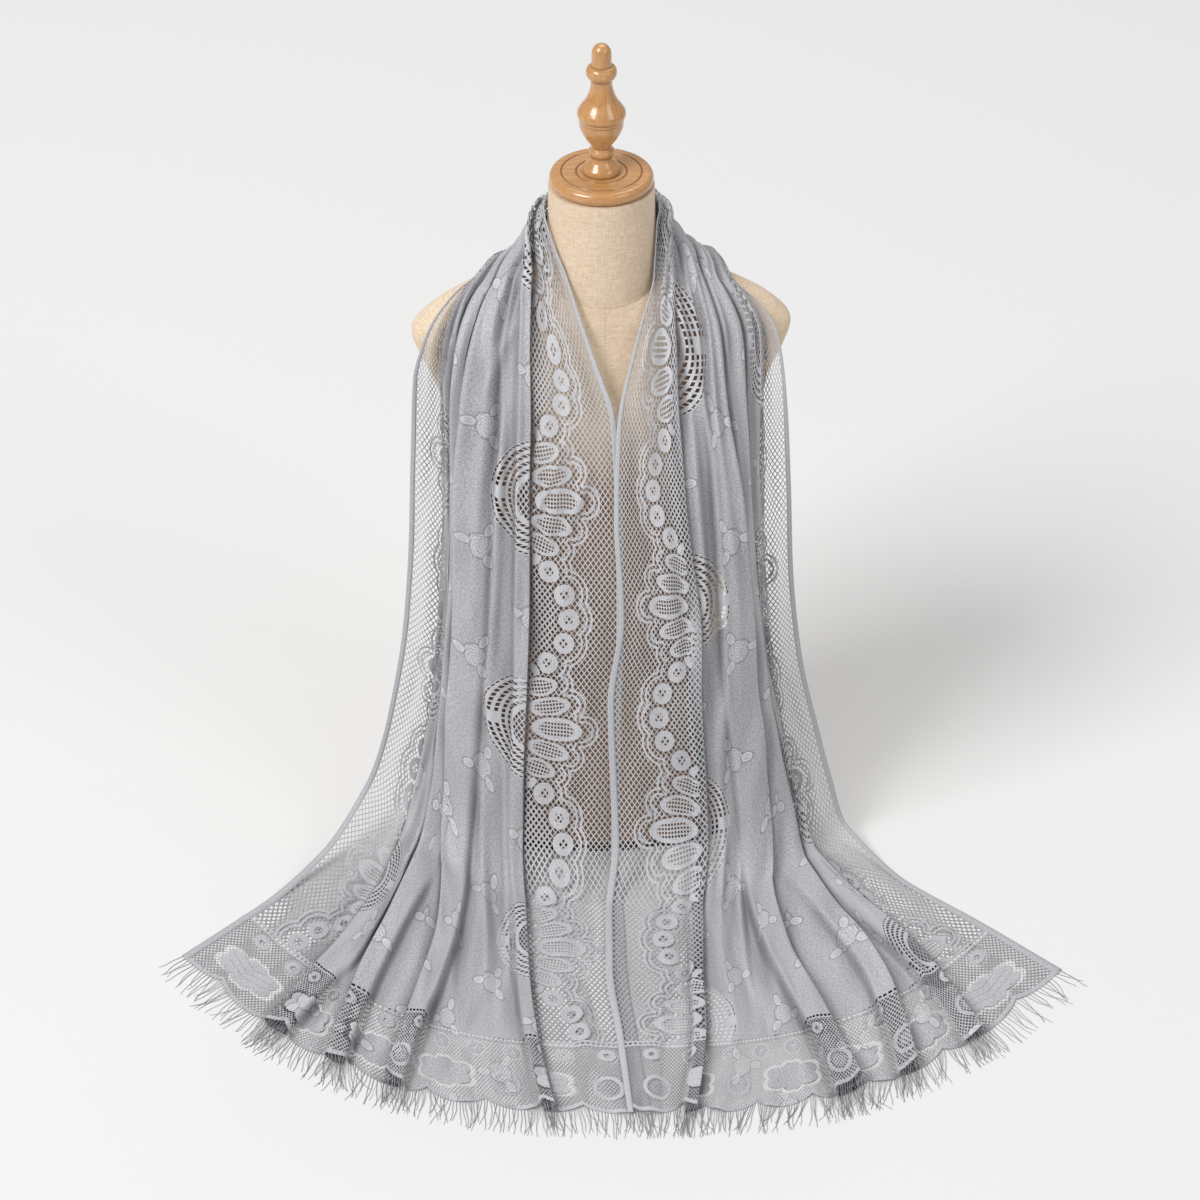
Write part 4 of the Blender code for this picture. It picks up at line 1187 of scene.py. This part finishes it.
def wood_material(name, scales, grooves, by_height):
    """Honey lacquer over wood grain, darker in the turned grooves."""
    material, tree, shader = new_material(name, WOOD_SURFACE)
    vector, (x, y, z) = place_fields(tree)
    grain = noise(tree, vector, scales, detail=4.0, rough=0.6)
    pores = noise(tree, vector, tuple(4.0 * s for s in scales), detail=2.0)
    measure = z if by_height else hypot(x, y)
    dark = x * 0.0
    for centre, half in grooves:
        dark = dark.most(1.0 - abs(measure - centre * MM) / (half * MM))
    base = tone(grain * 1.3 + pores * 0.35 - 0.35, WOOD_DARK, WOOD_LIGHT)
    colour = tone(dark.clamped() * 0.75, base, WOOD_GROOVE)
    wire(shader, colour, pores * 0.12 + 0.22, grain + pores * 0.3, 0.06, 0.0004)
    return material


def oval_ring(values, height, sides):
    """One ring of the torso, turned with the form and slanted near the neck seam."""
    half, front, back, power = values
    angles = np.linspace(0, 2 * math.pi, sides, endpoint=False)
    cosine, sine = np.cos(angles), np.sin(angles)
    x = half * np.sign(cosine) * np.abs(cosine) ** (2 / power)
    y = np.where(sine < 0, front, back) * np.sign(sine) * np.abs(sine) ** (2 / power)
    z = height + SEAM_SLANT * y * slant_at(height)
    turned_x = x * math.cos(FORM_TURN) - y * math.sin(FORM_TURN)
    turned_y = x * math.sin(FORM_TURN) + y * math.cos(FORM_TURN)
    return np.column_stack([turned_x, turned_y, z])


def loft(name, rings, material):
    """A closed loft through rings of equal count, capped at both ends."""
    rings = np.array(rings)
    count, sides = rings.shape[:2]
    faces = grid_quads(count, sides, False, closed=True)
    faces.append(tuple(range(sides))[::-1])
    faces.append(tuple((count - 1) * sides + i for i in range(sides)))
    obj = mesh_object(name, rings.reshape(-1, 3), faces, material)
    obj.data.set_sharp_from_angle(angle=LOFT_SHARP)
    return obj


def add_form():
    """Torso, neck, neck seam, cap and knob of the dress form."""
    linen = linen_material()
    coarse = np.linspace(2.0, FINE_FROM, 72, endpoint=False)
    heights = np.concatenate([coarse, np.linspace(FINE_FROM, SEAM_HEIGHT, 34)])
    rings = [oval_ring(torso_values(height), height, RING_SIDES) for height in heights]
    foot = rings[0].copy()
    foot[:, :2] *= FOOT_SHARE
    foot[:, 2] = 0.0
    torso = loft("torso_linen", [foot] + rings, linen)
    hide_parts("form_torso")
    base = oval_ring(torso_values(SEAM_HEIGHT), SEAM_HEIGHT, RING_SIDES)
    base[:, 2] += SEAM_GAP
    angles = np.arctan2(base[:, 1], base[:, 0])
    rings = []
    for share in np.linspace(0, 1, NECK_RINGS):
        ease = min(share / NECK_EASE, 1.0)
        radius = NECK_FOOT_RADIUS + (NECK_TOP_RADIUS - NECK_FOOT_RADIUS) * share
        top = np.full(RING_SIDES, NECK_TOP)
        ring = np.column_stack([radius * np.cos(angles), radius * np.sin(angles), top])
        rings.append(base + (ring - base) * (ease, ease, share))
    neck = loft("neck_linen", rings, linen)
    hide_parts("form_neck")
    add_seam(base, linen)
    cap_grooves = [(radius, 1.5) for radius in GROOVE_RADII]
    cap_wood = wood_material("cap_wood", (38.0, 240.0, 240.0), cap_grooves, False)
    knob_grooves = [(FINIAL_FOOT + height, half) for height, half in KNOB_GROOVES]
    knob_wood = wood_material("knob_wood", (230.0, 230.0, 34.0), knob_grooves, True)
    add_turned("cap_wooden", cap_profile(), CAP_FOOT, cap_wood, "form_cap")
    add_turned("knob_wooden", smooth_profile(FINIAL_PROFILE), FINIAL_FOOT, knob_wood, "form_finial")


def add_seam(base, material):
    """Raised seam round the foot of the neck, with a short stitch every few millimetres."""
    around = np.concatenate([base, base[:1]])
    run = running(step_lengths(around))
    total = len(STITCH_SIZES) * STITCHES
    line = points_at(np.linspace(0, run[-1], total, endpoint=False), run, around)
    verts, faces = [], []
    for index, (point, way) in enumerate(zip(line, unit(line * (1.0, 1.0, 0.0)))):
        size = STITCH_SIZES[index % len(STITCH_SIZES)]
        ahead = (index + 1) % total
        for turn in range(STITCH_SIDES):
            angle = 2 * math.pi * turn / STITCH_SIDES
            aside = way * math.cos(angle) + np.array([0.0, 0.0, 1.0]) * math.sin(angle)
            verts.append(point + way * 0.25 + aside * size)
            beside = (turn + 1) % STITCH_SIDES
            corners = (index, turn), (ahead, turn), (ahead, beside), (index, beside)
            faces.append(tuple(row * STITCH_SIDES + place for row, place in corners))
    mesh_object("neck_seam_stitches", verts, faces, material)


def smooth_profile(profile):
    """The turned profile with softened steps."""
    heights, radii = zip(*profile)
    stops = np.arange(len(profile) - 2)
    values = np.column_stack([heights[:-2], radii[:-2]])
    fine = smooth_curve(stops, values, np.linspace(0, stops[-1], 150))
    return [Turned(h, r) for h, r in fine] + [Turned(*profile[-2]), Turned(*profile[-1])]


def cap_profile():
    """Half profile of the neck cap, with two round grooves in its top and a rounded rim."""
    points = [Turned(CAP_THICK, 0.0)]
    for radius in GROOVE_RADII:
        for share in np.linspace(-1, 1, 7):
            depth = GROOVE_DEPTH * (1 - share * share)
            points.append(Turned(CAP_THICK - depth, radius + share * GROOVE_WIDTH / 2))
    half = CAP_THICK / 2
    for angle in np.linspace(0.5 * math.pi, -0.5 * math.pi, 20):
        radius = CAP_RADIUS - CAP_RIM + CAP_RIM * math.cos(angle)
        points.append(Turned(half + half * math.sin(angle), radius))
    return points + [Turned(0.0, 0.0)]


def add_turned(name, profile, foot, material, node):
    """A turned piece: its half profile, from pole to pole, swept round."""
    angles = 2 * math.pi * np.arange(TURNED_STEPS) / TURNED_STEPS
    around = np.column_stack([np.cos(angles), np.sin(angles), np.zeros(TURNED_STEPS)])
    rings = [around * radius + (0.0, 0.0, foot + height) for height, radius in profile[-2:0:-1]]
    poles = [(0.0, 0.0, foot + end.height) for end in (profile[-1], profile[0])]
    faces = grid_quads(len(rings), TURNED_STEPS, False, closed=True)
    low_pole = len(rings) * TURNED_STEPS
    top_ring = low_pole - TURNED_STEPS
    for step in range(TURNED_STEPS):
        ahead = (step + 1) % TURNED_STEPS
        faces.append((low_pole, ahead, step))
        faces.append((low_pole + 1, top_ring + step, top_ring + ahead))
    obj = mesh_object(name, np.concatenate(rings + [poles]), faces, material)
    obj.data.set_sharp_from_angle(angle=TURNED_SHARP)
    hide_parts(node)


# Shawl

NECK_ROWS = 20
OUTER_SHARE = 0.78


def add_edges(name, grid, flats, outer_share, flip, material):
    """The selvedges along both edges of a stretch, the outer one as wide as a share of the inner."""
    near = np.linspace(0.0, SELVEDGE_WIDTH, 4)
    places = {"inner": near, "outer": CLOTH_WIDTH - outer_share * near[::-1]}
    return {
        part: add_selvedge(f"selvedge_{name}_{part}", grid, flats, wanted, flip, material)
        for part, wanted in places.items()
    }


def add_half(half, band, yarn):
    """One half of the shawl: its lace in two pieces, its selvedges and its fringe."""
    samples = sample_stops(half)
    split = int(np.searchsorted(samples, SPLIT_STOP))
    paths = np.linspace(BACK_STRETCH, HALF_PATH, int((HALF_PATH - BACK_STRETCH) / ROW_STEP))
    grid, flats, painted_shades = cloth_rows(half, paths, samples)
    waves = wave_of(half, paths)
    material = lace_material("jacquard_lace_" + half.name, float(wave_of(half, np.array(HALF_PATH))))
    flip = half.side < 0
    fringe = add_fringe(half, grid, flats, yarn)
    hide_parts("fringe_" + half.name)
    edges = add_edges(half.name, grid, flats, OUTER_SHARE, flip, band)
    for part, columns in (("inner", slice(0, split + 1)), ("outer", slice(split, None))):
        rows = [values[:, columns] for values in (grid, flats, painted_shades)]
        sheet = sheet_object(f"lace_{half.name}_{part}", *rows, waves, flip, material)
        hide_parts("shawl_" + half.name)
        [edges[part]] + ([fringe] if part == "inner" else [])


def add_back_neck(band):
    """The stretch behind the neck, from shoulder to shoulder."""
    samples = sample_stops(HALVES["left"])
    stretches = []
    for half, paths in (
        (HALVES["right"], np.linspace(BACK_STRETCH, 0, NECK_ROWS)[:-1]),
        (HALVES["left"], np.linspace(0, BACK_STRETCH, NECK_ROWS)),
    ):
        rows = cloth_rows(half, paths, samples, back=True)
        stretches.append((*rows, wave_of(HALVES["left"], paths * half.side)))
    grid, flats, painted_shades, waves = (np.concatenate(parts) for parts in zip(*stretches))
    material = lace_material("jacquard_lace_neck", None)
    sheet = sheet_object("lace_back_neck", grid, flats, painted_shades, waves, False, material)
    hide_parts("shawl_back_neck")
    edges = add_edges("neck", grid, flats, 1.0, False, band)


def add_shawl():
    """The three stretches of lace, their selvedges and their fringes."""
    band, yarn = band_material(), thread_material()
    for half in HALVES.values():
        add_half(half, band, yarn)
    add_back_neck(band)


# Studio

Light = namedtuple("Light", "name place target size power")

FLOOR_REACH = 16.0
PAPER_SURFACE = {"Base Color": (0.745, 0.745, 0.743, 1.0), "Roughness": 0.9, "Specular IOR Level": 0.1}
CAMERA_PLACE = (-0.0014, -3.766, 2.827)
CAMERA_TILT = 55.5
CAMERA_LENS = 135.0
CAMERA_SENSOR = 36.0
CAMERA_REACH = 50.0
WORLD_COLOUR = (1.0, 1.0, 1.0, 1.0)
WORLD_STRENGTH = 0.43
LIGHTS = rows_of(
    Light,
    ("key", (-5.0, -4.2, 7.0), (0.0, -0.1, 0.3), (4.0, 4.0), 620.0),
    ("fill", (5.0, -4.0, 4.5), (0.0, -0.1, 0.3), (3.0, 3.0), 80.0),
    ("top", (0.5, 3.0, 6.0), (0.0, 0.3, 0.0), (4.0, 4.0), 118.0),
)


def in_scene(name, data):
    """A new object, put into the scene."""
    obj = bpy.data.objects.new(name, data)
    bpy.context.scene.collection.objects.link(obj)
    return obj


def add_stage():
    """Pale paper floor, wide enough to fill the view."""
    mesh = bpy.data.meshes.new("pale_floor")
    signs = (-1, -1), (1, -1), (1, 1), (-1, 1)
    mesh.from_pydata([(x * FLOOR_REACH, y * FLOOR_REACH, 0.0) for x, y in signs], [], [(0, 1, 2, 3)])
    mesh.materials.append(new_material("pale_paper", PAPER_SURFACE)[0])
    in_scene("pale_floor", mesh)


def add_light(row):
    """One soft area light."""
    data = bpy.data.lights.new(row.name, "AREA")
    data.shape = "RECTANGLE"
    data.size, data.size_y = row.size
    data.energy = row.power
    light = in_scene(row.name, data)
    light.location = row.place
    light.rotation_euler = (Vector(row.target) - Vector(row.place)).to_track_quat("-Z", "Y").to_euler()


def add_studio():
    """Camera at the photo's angle and plain soft light."""
    scene = bpy.context.scene
    data = bpy.data.cameras.new("camera")
    data.lens = CAMERA_LENS
    data.sensor_width = CAMERA_SENSOR
    data.clip_end = CAMERA_REACH
    camera = in_scene("camera", data)
    camera.location = CAMERA_PLACE
    camera.rotation_euler = (math.radians(CAMERA_TILT), 0.0, 0.0)
    scene.camera = camera
    scene.view_settings.view_transform = "Standard"
    world = bpy.data.worlds.new("pale_world")
    world.use_nodes = True
    background = world.node_tree.nodes["Background"]
    background.inputs["Color"].default_value = WORLD_COLOUR
    background.inputs["Strength"].default_value = WORLD_STRENGTH
    scene.world = world
    for row in LIGHTS:
        add_light(row)


add_studio()
add_stage()
add_form()
add_shawl()
